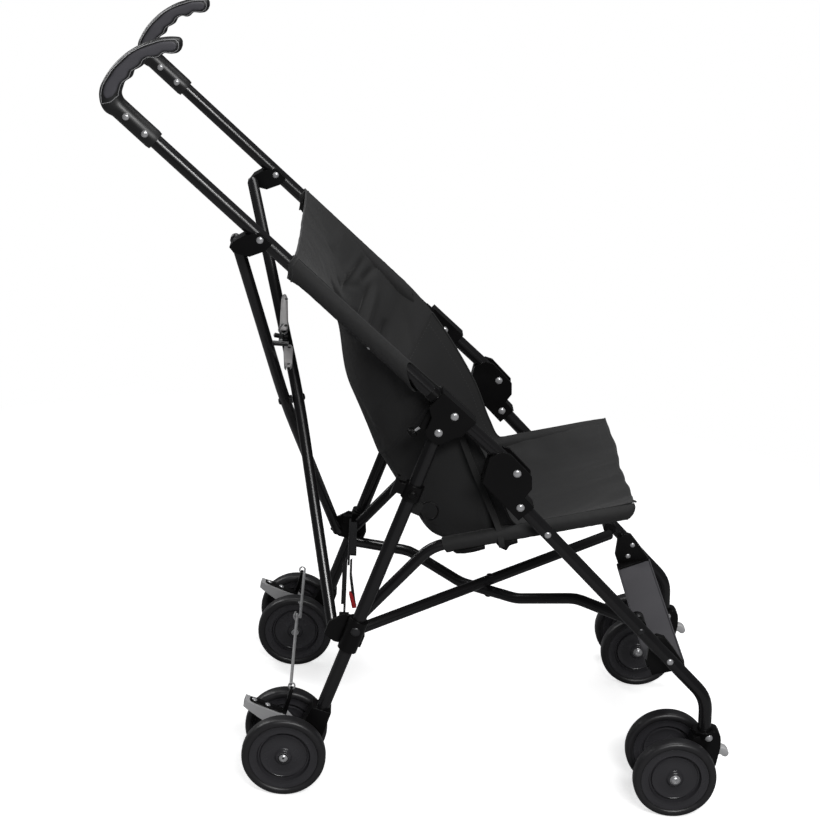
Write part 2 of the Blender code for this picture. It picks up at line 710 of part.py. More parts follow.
def wheels():
    tyre_body = tyre()
    hub_body = hub()
    for corner, centre in (("rear", REAR_AXLE), ("front", FRONT_AXLE)):
        for side, sign in SIDES:
            for place, out in (("outer", 1.0), ("inner", -1.0)):
                y = sign * (SIDE_Y + out * PAIR_HALF_SPACING)
                at = Vector((centre.x, y, centre.z))
                name = "%s_%s_%s" % (corner, side, place)
                for kind, body, look in (("tyre", tyre_body, BLACK_RUBBER), ("hub", hub_body, BLACK_PLASTIC)):
                    made = node(kind + "_" + name, body, look, (0, 0, 0))
                    made.location += at
    bpy.data.objects.remove(tyre_body)
    bpy.data.objects.remove(hub_body)


wheels()


# The brakes: a pedal behind each rear corner, with a strap up to a rod that links the two sides


def brake_pedal():
    corners = [(-0.0580, 0.1215), (-0.0605, 0.1130), (-0.0540, 0.1075), (-0.0300, 0.0905), (-0.0120, 0.0845),
               (0.0040, 0.0828), (0.0098, 0.0850), (0.0100, 0.0900), (0.0010, 0.1000)]
    body = profile(corners, -0.0098, 0.0098)
    strap = profile([(-0.0060, 0.0980), (0.0040, 0.1402), (0.0070, 0.1394), (-0.0020, 0.0970)], -0.0050, 0.0050)
    body = joined(body, strap)
    body = cut(body, across(PEDAL_PIN, -0.02, 0.02, 0.0028, 12))
    slope = Vector((-0.0590, 0.0, 0.0215)).normalized()
    lift = Vector((0.0215, 0.0, 0.0590)).normalized()
    top = Vector((0.0010, SIDE_Y, 0.1000))
    heads = [dome(top + slope * reach, lift, 0.0036, 0.0016) for reach in (0.030, 0.050)]
    return joined(body, *heads)


pair("brake_pedal", brake_pedal, GREY_PLASTIC, at_side(PEDAL_PIN))


def brake_link(shift):
    """Half of the rod across the back, as built for the left side; its inner end lies beside the other half."""
    x = BRAKE_ROD_X + shift
    slope = (BRAKE_ROD_MID_Z - BRAKE_ROD_END_Z) / BRAKE_ROD_Y
    outer = Vector((x, BRAKE_ROD_Y + 0.0015, BRAKE_ROD_END_Z - 0.0015 * slope))
    inner = Vector((x, -0.0040, BRAKE_ROD_MID_Z + 0.0040 * slope))
    return rod(outer, inner, BRAKE_ROD_RADIUS, 12)


node("brake_link_left", brake_link(0.0024), BLACK_PAINT, (BRAKE_ROD_X, BRAKE_ROD_Y, BRAKE_ROD_END_Z))
node("brake_link_right", brake_link(-0.0024), BLACK_PAINT, (BRAKE_ROD_X, BRAKE_ROD_Y, BRAKE_ROD_END_Z), True)


# The crossed struts at the back, each bowed a little so that they pass each other


STRUT_TOP = Vector((STRUT_TOP_X, STRUT_END_Y, STRUT_TOP_Z))
STRUT_FOOT = Vector((STRUT_FOOT_X, -STRUT_END_Y, STRUT_FOOT_Z))
STRUT_FACE = (STRUT_FOOT - STRUT_TOP).cross(Vector((0.0, 1.0, 0.0))).normalized()  # square to both, forwards
STRUT_CROSSING = (STRUT_TOP + STRUT_FOOT) / 2


def strut(out):
    """The strut whose top is on the left, lying in front of the crossing for out = 1 and behind it for -1."""
    face = STRUT_FACE * out
    corners = [STRUT_TOP, STRUT_CROSSING + face * (STRUT_SPLIT / 2), STRUT_FOOT]
    body = pipe(rounded_path(corners, [1.8], 4), THIN_RADIUS, THIN_WALL, 14, capped=True)
    crown = STRUT_CROSSING + face * (STRUT_SPLIT / 2 + THIN_RADIUS - 0.0016)
    return joined(body, dome(crown, face, 0.0050, 0.0030))


def stay_pin(top_sign, high_x):
    """The stub on a strut that an arm of the folding stay turns on."""
    share = (STRUT_TOP_Z - STAY_Z) / (STRUT_TOP_Z - STRUT_FOOT_Z)
    x = STRUT_TOP_X + (STRUT_FOOT_X - STRUT_TOP_X) * share + top_sign * STRUT_SPLIT * share
    return rod((x + 0.0050, STAY_Y, STAY_Z), (high_x, STAY_Y, STAY_Z), 0.0036, 12)


def make_struts():
    front = joined(strut(1.0), stay_pin(1.0, STAY_SPLIT_X - 0.0057))
    node("strut_b", front, BLACK_PAINT, STRUT_TOP)
    rear = joined(strut(-1.0), stay_pin(-1.0, STAY_SPLIT_X + 0.0020))
    spacer = rod(STRUT_CROSSING - STRUT_FACE * 0.0035, STRUT_CROSSING + STRUT_FACE * 0.0008, 0.0060, 16)
    rear = joined(rear, spacer)
    node("strut_a", rear, BLACK_PAINT, STRUT_TOP, mirrored=True)


make_struts()


def stay_arm(low_x, high_x):
    half = STAY_THICKNESS / 2
    low = (low_x, -0.0050, STAY_Z - half)
    body = box(low, (high_x, STAY_Y + 0.0045, STAY_Z + half))
    middle = (low_x + high_x) / 2
    return joined(body, dome((middle, 0.0, STAY_Z + half), (0.0, 0.0, 1.0), 0.0026, 0.0014))


node("link_upper", stay_arm(STAY_SPLIT_X - 0.0052, STAY_SPLIT_X + 0.0001), BLACK_PAINT, (STAY_SPLIT_X, STAY_Y, STAY_Z))
node("link_lower", stay_arm(STAY_SPLIT_X + 0.0024, STAY_SPLIT_X + 0.0143), BLACK_PAINT,
     (STAY_SPLIT_X, STAY_Y, STAY_Z), mirrored=True)


# The folding lock across the rear legs: two arms that lie flat when the buggy is open, and a release lever


def lock_arm(web_x, flange_x):
    half = LOCK_DEPTH / 2
    rise = 0.0055 / LOCK_Y

    def level(y):
        return LOCK_Z + (LOCK_Y - y) * rise

    outline = [(LOCK_Y + 0.0052, 0.0012), (LOCK_Y + 0.0036, 0.0038), (LOCK_Y, 0.0052), (LOCK_Y - 0.0050, half),
               (0.0020, half), (-0.0060, 0.0035), (-0.0060, -0.0035), (0.0020, -half), (LOCK_Y - 0.0050, -half),
               (LOCK_Y, -0.0052), (LOCK_Y + 0.0036, -0.0038), (LOCK_Y + 0.0052, -0.0012)]
    web = slab([(web_x, y, level(y) + z) for y, z in outline], (LOCK_THICKNESS, 0.0, 0.0))
    corners = [(0.0140, half), (0.1450, half), (0.1450, half - LOCK_THICKNESS), (0.0140, half - LOCK_THICKNESS)]
    start = web_x + 0.0005 if flange_x > web_x else flange_x
    width = abs(flange_x - web_x) if flange_x > web_x else web_x + 0.0005 - flange_x
    flange = slab([(start, y, level(y) + z) for y, z in corners], (width, 0.0, 0.0))
    return joined(web, flange)


LOCK_PLACE = (LOCK_X, LOCK_Y, LOCK_Z)
node("lock_arm_left", lock_arm(LOCK_X + 0.0004, LOCK_X + LOCK_WIDTH), BLACK_PAINT, LOCK_PLACE)
node("lock_arm_right", lock_arm(LOCK_X - 0.0004 - LOCK_THICKNESS, LOCK_X - 0.0070), BLACK_PAINT, LOCK_PLACE, True)


def lock_lever():
    x = LOCK_X + LOCK_THICKNESS + 0.0010
    corners = [(x, LOCK_Z + 0.0070), (x + 0.0030, LOCK_Z + 0.0100), (x + 0.0040, 0.2300), (0.0900, 0.1790),
               (0.0855, 0.1780), (x + 0.0006, 0.2280)]
    return slab([(px, -0.0035, pz) for px, pz in corners], (0.0, 0.0070, 0.0))


node("lock_lever", lock_lever(), BLACK_PAINT, (LOCK_X + LOCK_THICKNESS + 0.0025, 0.0, LOCK_Z + 0.0055))


# The crossed bars under the seat: one straight, one dipping under it


BAR_REAR = Vector((BAR_REAR_X, BAR_END_Y, BAR_REAR_Z))
BAR_FRONT = Vector((BAR_FRONT_X, -BAR_END_Y, BAR_FRONT_Z))


def bar(rises):
    """A bar from the left at the back to the right in front, with rises from its straight line at even shares."""
    corners = [BAR_REAR.lerp(BAR_FRONT, share) + Vector((0.0, 0.0, rise)) for share, rise in rises]
    path = rounded_path(corners, [0.060] * (len(corners) - 2), 2)
    return pipe(path, THIN_RADIUS, THIN_WALL, 12, capped=True)


def make_bars():
    middle = BAR_REAR.lerp(BAR_FRONT, 0.5)
    low = bar([(0, 0), (0.2, 0.010), (0.40, -BAR_DIP), (0.60, -BAR_DIP), (0.8, 0.010), (1, 0)])
    low = joined(low, dome(middle - Vector((0, 0, BAR_DIP + 0.0070)), (0, 0, -1), 0.0050, 0.0030))
    node("bar_b", low, BLACK_PAINT, BAR_REAR)
    high = pipe([BAR_REAR, BAR_FRONT], THIN_RADIUS, THIN_WALL, 12, capped=True)
    high = joined(high, dome(middle + Vector((0, 0, 0.0070)), (0, 0, 1), 0.0050, 0.0030))
    node("bar_a", high, BLACK_PAINT, BAR_REAR, mirrored=True)


make_bars()


# The footrest, with a bracket on each front leg


def footrest():
    along = direction(FOOTREST_TILT)
    up = direction(FOOTREST_TILT + math.pi / 2)
    middle = Vector((FOOTREST_X, 0.0, FOOTREST_Z))
    half = FOOTREST_WIDTH / 2
    corners = [middle - along * half, middle + along * half, middle + along * half + up * FOOTREST_THICKNESS,
               middle - along * half + up * FOOTREST_THICKNESS]
    body = slab([(p.x, -0.1740, p.z) for p in corners], (0.0, 0.3480, 0.0))
    for sign in (-1.0, 1.0):
        outline = [(FOOTREST_X - 0.020, FOOTREST_Z - 0.004), (FOOTREST_X + 0.018, FOOTREST_Z + 0.006),
                   (FOOTREST_X + 0.014, FOOTREST_Z + 0.024), (FOOTREST_X - 0.012, FOOTREST_Z + 0.030)]
        start = 0.1725 if sign > 0 else -0.1851
        bracket = slab([(x, start, z) for x, z in outline], (0.0, 0.0126, 0.0))
        body = joined(body, bracket)
    return body


node("footrest", footrest(), GREY_PLASTIC, (FOOTREST_X, 0, FOOTREST_Z))


# The seat: a sling hung from sleeves on the handle tubes and on the seat tubes


def along_curve(points, share):
    """A point on a smooth curve through these points, at this share of the way from the first to the last."""
    spans = len(points) - 1
    place = min(max(share, 0.0), 1.0) * spans
    k = min(int(place), spans - 1)
    t = place - k
    before = Vector(points[max(k - 1, 0)])
    start = Vector(points[k])
    end = Vector(points[k + 1])
    after = Vector(points[min(k + 2, spans)])
    return 0.5 * ((2 * start) + (end - before) * t + (2 * before - 5 * start + 4 * end - after) * t * t
                  + (3 * start - before - 3 * end + after) * t * t * t)


def sling(sides, middles, stations, columns, folds):
    """A sheet from the left side curve to the right one through the middle curve, thickened to a closed solid."""
    grid = []
    for k in range(stations):
        share = k / (stations - 1)
        edge = along_curve(sides, share)
        middle = along_curve(middles, share)
        row = []
        for c in range(columns):
            across_share = 2 * c / (columns - 1) - 1
            pull = abs(across_share) ** 2.3
            point = middle + (Vector((edge.x, 0, edge.z)) - middle) * pull
            point.y = edge.y * across_share
            calm = (1 - across_share ** 4) * math.sin(math.pi * min(share * 1.02, 1.0))
            point.z += folds * calm * math.sin(across_share * 7.5 + share * 9.0)
            row.append(point)
        grid.append(row)
    return thick_sheet(grid)


def thick_sheet(grid):
    rows = len(grid)
    columns = len(grid[0])
    upper = []
    lower = []
    for k in range(rows):
        for c in range(columns):
            along = grid[min(k + 1, rows - 1)][c] - grid[max(k - 1, 0)][c]
            over = grid[k][min(c + 1, columns - 1)] - grid[k][max(c - 1, 0)]
            normal = along.cross(over).normalized() * (CLOTH_THICKNESS / 2)
            upper.append(grid[k][c] + normal)
            lower.append(grid[k][c] - normal)
    count = rows * columns
    faces = []
    for k in range(rows - 1):
        for c in range(columns - 1):
            a = k * columns + c
            b = a + columns
            faces.append([a, a + 1, b + 1, b])
            faces.append([count + a, count + b, count + b + 1, count + a + 1])
    rim = [c for c in range(columns)] + [k * columns + columns - 1 for k in range(1, rows)]
    rim += [(rows - 1) * columns + c for c in range(columns - 2, -1, -1)]
    rim += [k * columns for k in range(rows - 2, 0, -1)]
    for i in range(len(rim)):
        a = rim[i]
        b = rim[(i + 1) % len(rim)]
        faces.append([a, b, count + b, count + a])
    return helper(upper + lower, faces)


def sleeves(body, start, end, w, tube_radius):
    """Joins a cloth sleeve to the sheet round the tube on each side."""
    inner = tube_radius + 0.0006
    for sign in (1.0, -1.0):
        ends = []
        for p in (start, end):
            ends.append(Vector((p.x, sign * (SIDE_Y + w), p.z)))
        body = joined(body, pipe(ends, inner + CLOTH_THICKNESS, CLOTH_THICKNESS, 16))
    return body


def back_cloth():
    top = on_handle(CLOTH_TOP_DISTANCE - 0.002, 0)
    end = on_handle(CLOTH_TUBE_END + 0.002, 0)
    edge_y = SIDE_Y - TUBE_RADIUS - 0.0006 - CLOTH_THICKNESS / 2
    sides = [Vector((p.x, edge_y, p.z)) for p in (top, top.lerp(end, 0.5), end)]
    middles = [(x, 0, z) for x, z in BACK_MIDDLE]
    body = sling(sides, middles, 12, 17, 0.0022)
    return sleeves(body, on_handle(CLOTH_TOP_DISTANCE, 0), on_handle(CLOTH_TUBE_END, 0), 0.0, TUBE_RADIUS)


def seat_cloth():
    slope = direction(SEAT_TUBE_SLOPE)
    start = SEAT_PIN - slope * 0.038
    end = SEAT_PIN + slope * (SEAT_TUBE_FRONT_LENGTH - 0.004)
    edge_y = SIDE_Y - SEAT_TUBE_INSET - THIN_RADIUS - 0.0006 - CLOTH_THICKNESS / 2
    sides = [(x, min(edge_y, y), z) for x, y, z in WING_EDGE]
    sides += [Vector((p.x, edge_y, p.z)) for p in (start + slope * 0.002, SEAT_PIN, start.lerp(end, 0.6), end - slope * 0.002)]
    middles = [(x, 0, z) for x, z in SEAT_MIDDLE]
    body = sling(sides, middles, 15, 17, 0.0022)
    return sleeves(body, start, end, -SEAT_TUBE_INSET, THIN_RADIUS)


node("back_cloth", back_cloth(), DARK_CLOTH, (0, 0, 0))
node("seat_cloth", seat_cloth(), DARK_CLOTH, (0, 0, 0))
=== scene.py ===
from math import copysign, cos, exp, hypot, pi, radians, sin, sqrt

import bmesh
import bpy
from mathutils import Matrix, Vector, noise


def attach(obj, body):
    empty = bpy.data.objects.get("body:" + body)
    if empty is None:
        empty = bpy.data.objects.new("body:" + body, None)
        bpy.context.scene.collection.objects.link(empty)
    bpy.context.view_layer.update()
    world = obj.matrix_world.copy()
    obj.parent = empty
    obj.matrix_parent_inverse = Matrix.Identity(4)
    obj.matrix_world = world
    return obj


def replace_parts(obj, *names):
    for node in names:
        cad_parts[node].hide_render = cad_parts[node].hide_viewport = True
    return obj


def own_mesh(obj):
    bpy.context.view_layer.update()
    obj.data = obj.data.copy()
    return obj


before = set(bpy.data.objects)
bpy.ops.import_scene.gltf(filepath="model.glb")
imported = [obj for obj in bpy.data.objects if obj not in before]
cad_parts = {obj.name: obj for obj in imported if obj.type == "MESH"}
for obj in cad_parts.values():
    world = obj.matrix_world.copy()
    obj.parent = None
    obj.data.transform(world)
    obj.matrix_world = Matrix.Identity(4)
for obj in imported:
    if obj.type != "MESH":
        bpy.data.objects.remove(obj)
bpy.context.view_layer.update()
bpy.context.scene.view_settings.view_transform = "Standard"


# The photographer's table: one camera a little above the handles, looking down on the near side,
# a white floor that keeps a soft shadow, and three large soft lamps above, behind and in front.

def placed(name, data):
    """A new object in the scene."""
    obj = bpy.data.objects.new(name, data)
    bpy.context.scene.collection.objects.link(obj)
    return obj


YAW, PITCH, ROLL = 0.0432, 0.3367, 0.07932
forward = Vector((sin(YAW) * cos(PITCH), cos(YAW) * cos(PITCH), -sin(PITCH)))
level = Vector((cos(YAW), -sin(YAW), 0.0))
upright = level.cross(forward)
camera_right = level * cos(ROLL) + upright * sin(ROLL)
camera_up = upright * cos(ROLL) - level * sin(ROLL)
camera_data = bpy.data.cameras.new("camera")
camera_data.sensor_width = 36.0
camera_data.lens = 80.96
camera_data.clip_end = 60.0
camera = placed("camera", camera_data)
camera.matrix_world = Matrix((camera_right, camera_up, -forward)).transposed().to_4x4()
camera.location = (-0.1321, -2.4896, 1.3646)
bpy.context.scene.camera = camera


def lamp(name, place, aim, width, depth, power):
    light = bpy.data.lights.new(name, "AREA")
    light.shape = "RECTANGLE"
    light.size = width
    light.size_y = depth
    light.energy = power
    holder = placed(name, light)
    holder.location = place
    holder.rotation_euler = (Vector(aim) - Vector(place)).to_track_quat("-Z", "Y").to_euler()


lamp("overhead_lamp", (0.1, 0.3, 2.9), (0.0, 0.0, 0.4), 1.8, 1.3, 31)
lamp("front_lamp", (0.6, -2.6, 2.3), (0.0, 0.0, 0.5), 1.4, 0.4, 62)
lamp("back_lamp", (-1.9, 1.4, 1.9), (0.0, 0.0, 0.5), 0.5, 1.5, 20)


def add(tree, kind, values=None):
    """A new node of the tree, with these values on its own sockets."""
    node = tree.nodes.new(kind)
    for socket, value in (values or {}).items():
        node.inputs[socket].default_value = value
    return node


def wire(tree, *links):
    """Joins each (node, output, node, input)."""
    for start, output, end, socket in links:
        tree.links.new(start.outputs[output], end.inputs[socket])


world = bpy.data.worlds.new("studio")
world.use_nodes = True
sky = world.node_tree
sky.nodes.clear()
rays = add(sky, "ShaderNodeLightPath")
white = add(sky, "ShaderNodeBackground", {"Color": (1.0, 1.0, 1.0, 1.0)})
room = add(sky, "ShaderNodeBackground", {"Color": (0.95, 0.97, 1.0, 1.0), "Strength": 0.08})
choice = add(sky, "ShaderNodeMixShader")
wire(sky, (rays, "Is Camera Ray", choice, 0), (room, 0, choice, 1), (white, 0, choice, 2),
     (choice, 0, add(sky, "ShaderNodeOutputWorld"), "Surface"))
bpy.context.scene.world = world

REACH = 30.0
floor_mesh = bpy.data.meshes.new("floor")
floor_mesh.from_pydata([(-REACH, -REACH, 0), (REACH, -REACH, 0), (REACH, REACH, 0), (-REACH, REACH, 0)], [],
                       [(0, 1, 2, 3)])
floor = placed("floor", floor_mesh)
floor_look = bpy.data.materials.new("white_floor")
floor_look.use_nodes = True
ground = floor_look.node_tree
ground.nodes.clear()
around = add(ground, "ShaderNodeTexCoord")
radial = add(ground, "ShaderNodeVectorMath")
radial.operation = "LENGTH"
fade = add(ground, "ShaderNodeMapRange", {"From Min": 0.75, "From Max": 1.5})
rays = add(ground, "ShaderNodeLightPath")
seen = add(ground, "ShaderNodeMath")
seen.operation = "MULTIPLY"
matte = add(ground, "ShaderNodeBsdfDiffuse", {"Color": (0.86, 0.86, 0.86, 1.0)})
dim = add(ground, "ShaderNodeBsdfDiffuse", {"Color": (0.26, 0.26, 0.265, 1.0)})
lift = add(ground, "ShaderNodeEmission", {"Strength": 0.66})
bright = add(ground, "ShaderNodeAddShader")
glow = add(ground, "ShaderNodeEmission", {"Strength": 1.0})
near_or_far = add(ground, "ShaderNodeMixShader")
lifted = add(ground, "ShaderNodeMixShader")
wire(ground, (around, "Object", radial, 0), (radial, "Value", fade, "Value"), (fade, "Result", seen, 0),
     (rays, "Is Camera Ray", seen, 1), (matte, 0, bright, 0), (lift, 0, bright, 1), (dim, 0, lifted, 1),
     (rays, "Is Camera Ray", lifted, 0), (bright, 0, lifted, 2), (seen, 0, near_or_far, 0),
     (lifted, 0, near_or_far, 1), (glow, 0, near_or_far, 2),
     (near_or_far, 0, add(ground, "ShaderNodeOutputMaterial"), "Surface"))
floor_mesh.materials.append(floor_look)


# The tubes: thin steel tube in black powder paint, bent and drilled, with plain cut ends.
# The solids have the true shape, so they stay, shaded smooth along the tube and sharp at its ends.

def finish(name, colour, rough, metal=0.0, tone=0.12, tone_scale=25.0, spread=0.07, grain=600.0, depth=0.00003,
           edge=0.0, sheen=0.0, gloss=0.5, scuff=None):
    """A finish with drifting tone and roughness, a fine grain, softened edges, and scuffs if a colour is given."""
    look = bpy.data.materials.new(name)
    look.use_nodes = True
    tree = look.node_tree
    shader = tree.nodes["Principled BSDF"]
    shader.inputs["Metallic"].default_value = metal
    shader.inputs["Specular IOR Level"].default_value = gloss
    shader.inputs["Sheen Weight"].default_value = sheen
    where = add(tree, "ShaderNodeTexCoord")
    drift = add(tree, "ShaderNodeTexNoise", {"Scale": tone_scale, "Detail": 4.0})
    tint = add(tree, "ShaderNodeMix")
    tint.data_type = "RGBA"
    tint.inputs[6].default_value = [c * (1 - tone) for c in colour] + [1.0]
    tint.inputs[7].default_value = [c * (1 + tone) for c in colour] + [1.0]
    dull = add(tree, "ShaderNodeMapRange", {"From Min": 0.3, "From Max": 0.7, "To Min": rough - spread,
                                            "To Max": rough + spread})
    fine = add(tree, "ShaderNodeTexNoise", {"Scale": grain, "Detail": 2.0})
    bump = add(tree, "ShaderNodeBump", {"Strength": 0.5, "Distance": depth})
    wire(tree, (where, "Object", drift, "Vector"), (drift, 0, tint, 0), (drift, 0, dull, "Value"),
         (dull, 0, shader, "Roughness"), (where, "Object", fine, "Vector"), (fine, 0, bump, "Height"),
         (bump, 0, shader, "Normal"))
    last_tint = tint
    if scuff:
        marks = add(tree, "ShaderNodeTexNoise", {"Scale": 55.0, "Detail": 8.0, "Roughness": 0.7})
        few = add(tree, "ShaderNodeMapRange", {"From Min": 0.62, "From Max": 0.74, "To Max": 0.55})
        last_tint = add(tree, "ShaderNodeMix")
        last_tint.data_type = "RGBA"
        last_tint.inputs[7].default_value = list(scuff) + [1.0]
        wire(tree, (where, "Object", marks, "Vector"), (marks, 0, few, "Value"), (few, 0, last_tint, 0),
             (tint, 2, last_tint, 6))
    wire(tree, (last_tint, 2, shader, "Base Color"))
    if edge:
        soft_edge = add(tree, "ShaderNodeBevel", {"Radius": edge})
        soft_edge.samples = 4
        wire(tree, (soft_edge, 0, bump, "Normal"))
    return look


def geometry_tree(name, inputs):
    """A node tree for geometry with these further (name, type) inputs: the tree, its sockets, its two ends."""
    tree = bpy.data.node_groups.new(name, "GeometryNodeTree")
    sockets = [tree.interface.new_socket(name=label, in_out="INPUT", socket_type="NodeSocket" + kind)
               for label, kind in (("Geometry", "Geometry"),) + inputs]
    tree.interface.new_socket(name="Geometry", in_out="OUTPUT", socket_type="NodeSocketGeometry")
    return tree, sockets, add(tree, "NodeGroupInput"), add(tree, "NodeGroupOutput")


def smooth_shading(limit):
    """A tree that joins the solid's loose triangles and keeps only the edges sharper than its limit."""
    tree, sockets, enter, leave = geometry_tree("smooth_between_edges", (("Sharp Angle", "Float"),))
    sockets[1].default_value = limit
    join = add(tree, "GeometryNodeMergeByDistance", {"Distance": 0.000005})
    everywhere = add(tree, "GeometryNodeSetShadeSmooth")
    measure = add(tree, "GeometryNodeInputMeshEdgeAngle")
    sharper = add(tree, "FunctionNodeCompare")
    sharper.data_type = "FLOAT"
    sharper.operation = "GREATER_THAN"
    sharp = add(tree, "GeometryNodeSetShadeSmooth", {"Shade Smooth": False})
    sharp.domain = "EDGE"
    wire(tree, (enter, 0, join, 0), (join, 0, everywhere, 0), (everywhere, 0, sharp, 0),
         (measure, "Unsigned Angle", sharper, 0), (enter, 1, sharper, 1), (sharper, 0, sharp, "Selection"),
         (sharp, 0, leave, 0))
    return tree


edge_shading = smooth_shading(0.62)


def dress(node, look):
    """Gives a CAD solid its finish and its shading."""
    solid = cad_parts[node]
    solid.data.materials.clear()
    solid.data.materials.append(look)
    shading = solid.modifiers.new("shading", "NODES")
    shading.node_group = edge_shading


paint = finish("black_powder_paint", (0.0085, 0.0082, 0.0088), 0.25, tone=0.2, spread=0.01, grain=300, depth=0.0,
               gloss=0.55, scuff=(0.014, 0.014, 0.0145))
SIDES = (("right", -1.0), ("left", 1.0))
for side, sign in SIDES:
    for kind in ("handle_tube", "front_leg", "rear_leg", "seat_tube", "lock_arm"):
        dress(kind + "_" + side, paint)
for kind in ("strut_a", "strut_b", "bar_a", "bar_b", "lock_lever"):
    dress(kind, paint)


# The blocks and brackets: black moulded plastic clamped round the tubes, a little duller than the paint,
# with the fine texture of the mould and softened edges. Their solids stay too.

moulded = finish("black_moulded_plastic", (0.0038, 0.0036, 0.0038), 0.36, tone=0.15, grain=1500, depth=0.00004,
                 edge=0.0011, gloss=0.22)
for side, sign in SIDES:
    for kind in ("strut_clip", "leg_bracket", "knee_block", "leg_clamp", "seat_node", "rear_housing"):
        dress(kind + "_" + side, moulded)


# The rivets: domed steel heads, bright on the blocks and darker where the bar and the seat are pinned.
# Each head is laid on its block's face by a node tree that sets one dome on every marked point.

REAR_AXLE_X = -0.1716
SIDE_Y = 0.195
HANDLE_SLOPE = radians(39.7)
FRONT_LEG_SLOPE = radians(43.5)
STEM_RAKE = radians(5.0)
STEM_DOWN = 0.437
LEG_UNDER_KNEE = 0.029


def heading(angle):
    """A direction in the side view, with the angle counted up from the front."""
    return Vector((cos(angle), 0.0, sin(angle)))


KNEE = Vector((REAR_AXLE_X + 0.287, 0.0, 0.4855))
UP_HANDLE = heading(pi - HANDLE_SLOPE)
HANDLE_FRONT = heading(pi / 2 - HANDLE_SLOPE)
DOWN_REAR_LEG = heading(-pi / 2 - radians(16.9))
DOWN_FRONT_LEG = heading(-FRONT_LEG_SLOPE)
UNDER_FRONT_LEG = heading(-pi / 2 - FRONT_LEG_SLOPE)
DOWN_STEM = heading(-pi / 2 + STEM_RAKE)


def on_handle(up, out=0.0):
    return KNEE + UP_HANDLE * up + HANDLE_FRONT * out


LEG_PIVOT = on_handle(0.116, -0.031)


def on_leg(down, under=0.0):
    return KNEE + UNDER_FRONT_LEG * (LEG_UNDER_KNEE + under) + DOWN_FRONT_LEG * down


def on_stem(down, front):
    return on_leg(STEM_DOWN) + DOWN_STEM * down + heading(STEM_RAKE) * front


def across(point, y):
    return Vector((point.x, y, point.z))


def head_tree(name, segments, rings):
    """Domes of one radius and height on points whose own attribute says which way they face."""
    tree, _, enter, leave = geometry_tree(name, (("Head Radius", "Float"), ("Head Height", "Float"),
                                                 ("Finish", "Material")))
    dome = add(tree, "GeometryNodeMeshUVSphere", {"Segments": segments, "Rings": rings, "Radius": 1.0})
    facing = add(tree, "GeometryNodeInputNamedAttribute", {"Name": "facing"})
    facing.data_type = "FLOAT_VECTOR"
    turn = add(tree, "FunctionNodeAlignRotationToVector")
    turn.axis = "Z"
    size = add(tree, "ShaderNodeCombineXYZ")
    lay = add(tree, "GeometryNodeInstanceOnPoints")
    real = add(tree, "GeometryNodeRealizeInstances")
    smooth = add(tree, "GeometryNodeSetShadeSmooth")
    coat = add(tree, "GeometryNodeSetMaterial")
    wire(tree, (enter, 0, lay, "Points"), (dome, 0, lay, "Instance"), (facing, "Attribute", turn, "Vector"),
         (turn, 0, lay, "Rotation"), (enter, 1, size, 0), (enter, 1, size, 1), (enter, 2, size, 2),
         (size, 0, lay, "Scale"), (lay, 0, real, 0), (real, 0, smooth, 0), (smooth, 0, coat, 0),
         (enter, 3, coat, "Material"), (coat, 0, leave, 0))
    return tree


domed_heads = head_tree("domed_heads", 20, 12)


def socket_id(tree, name):
    return next(s.identifier for s in tree.interface.items_tree if s.name == name and s.in_out == "INPUT")


def made_plain(obj, name, look):
    """The evaluated shape of a helper object as a plain mesh object, with the helper removed."""
    bpy.context.view_layer.update()
    mesh = bpy.data.meshes.new_from_object(obj.evaluated_get(bpy.context.evaluated_depsgraph_get()))
    mesh.name = name
    mesh.materials.clear()
    mesh.materials.append(look)
    bpy.data.objects.remove(obj)
    return placed(name, mesh)


def heads(name, body, places, radius, height, look, shape=domed_heads):
    """One piece with a dome at each (point, facing) pair."""
    mesh = bpy.data.meshes.new(name + "_points")
    mesh.from_pydata([p for p, _ in places], [], [])
    facing = mesh.attributes.new("facing", "FLOAT_VECTOR", "POINT")
    for i, (_, way) in enumerate(places):
        facing.data[i].vector = way
    helper = placed(name + "_points", mesh)
    layer = helper.modifiers.new("heads", "NODES")
    layer.node_group = shape
    for socket, value in (("Head Radius", radius), ("Head Height", height), ("Finish", look)):
        layer[socket_id(shape, socket)] = value
    domes = made_plain(helper, name, look)
    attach(domes, body)
    return domes


def both_faces(point, sign, half):
    """The two faces of a block at this point: outboard and inboard."""
    return [(across(point, sign * (SIDE_Y + half)), (0.0, sign, 0.0)),
            (across(point, sign * (SIDE_Y - half)), (0.0, -sign, 0.0))]


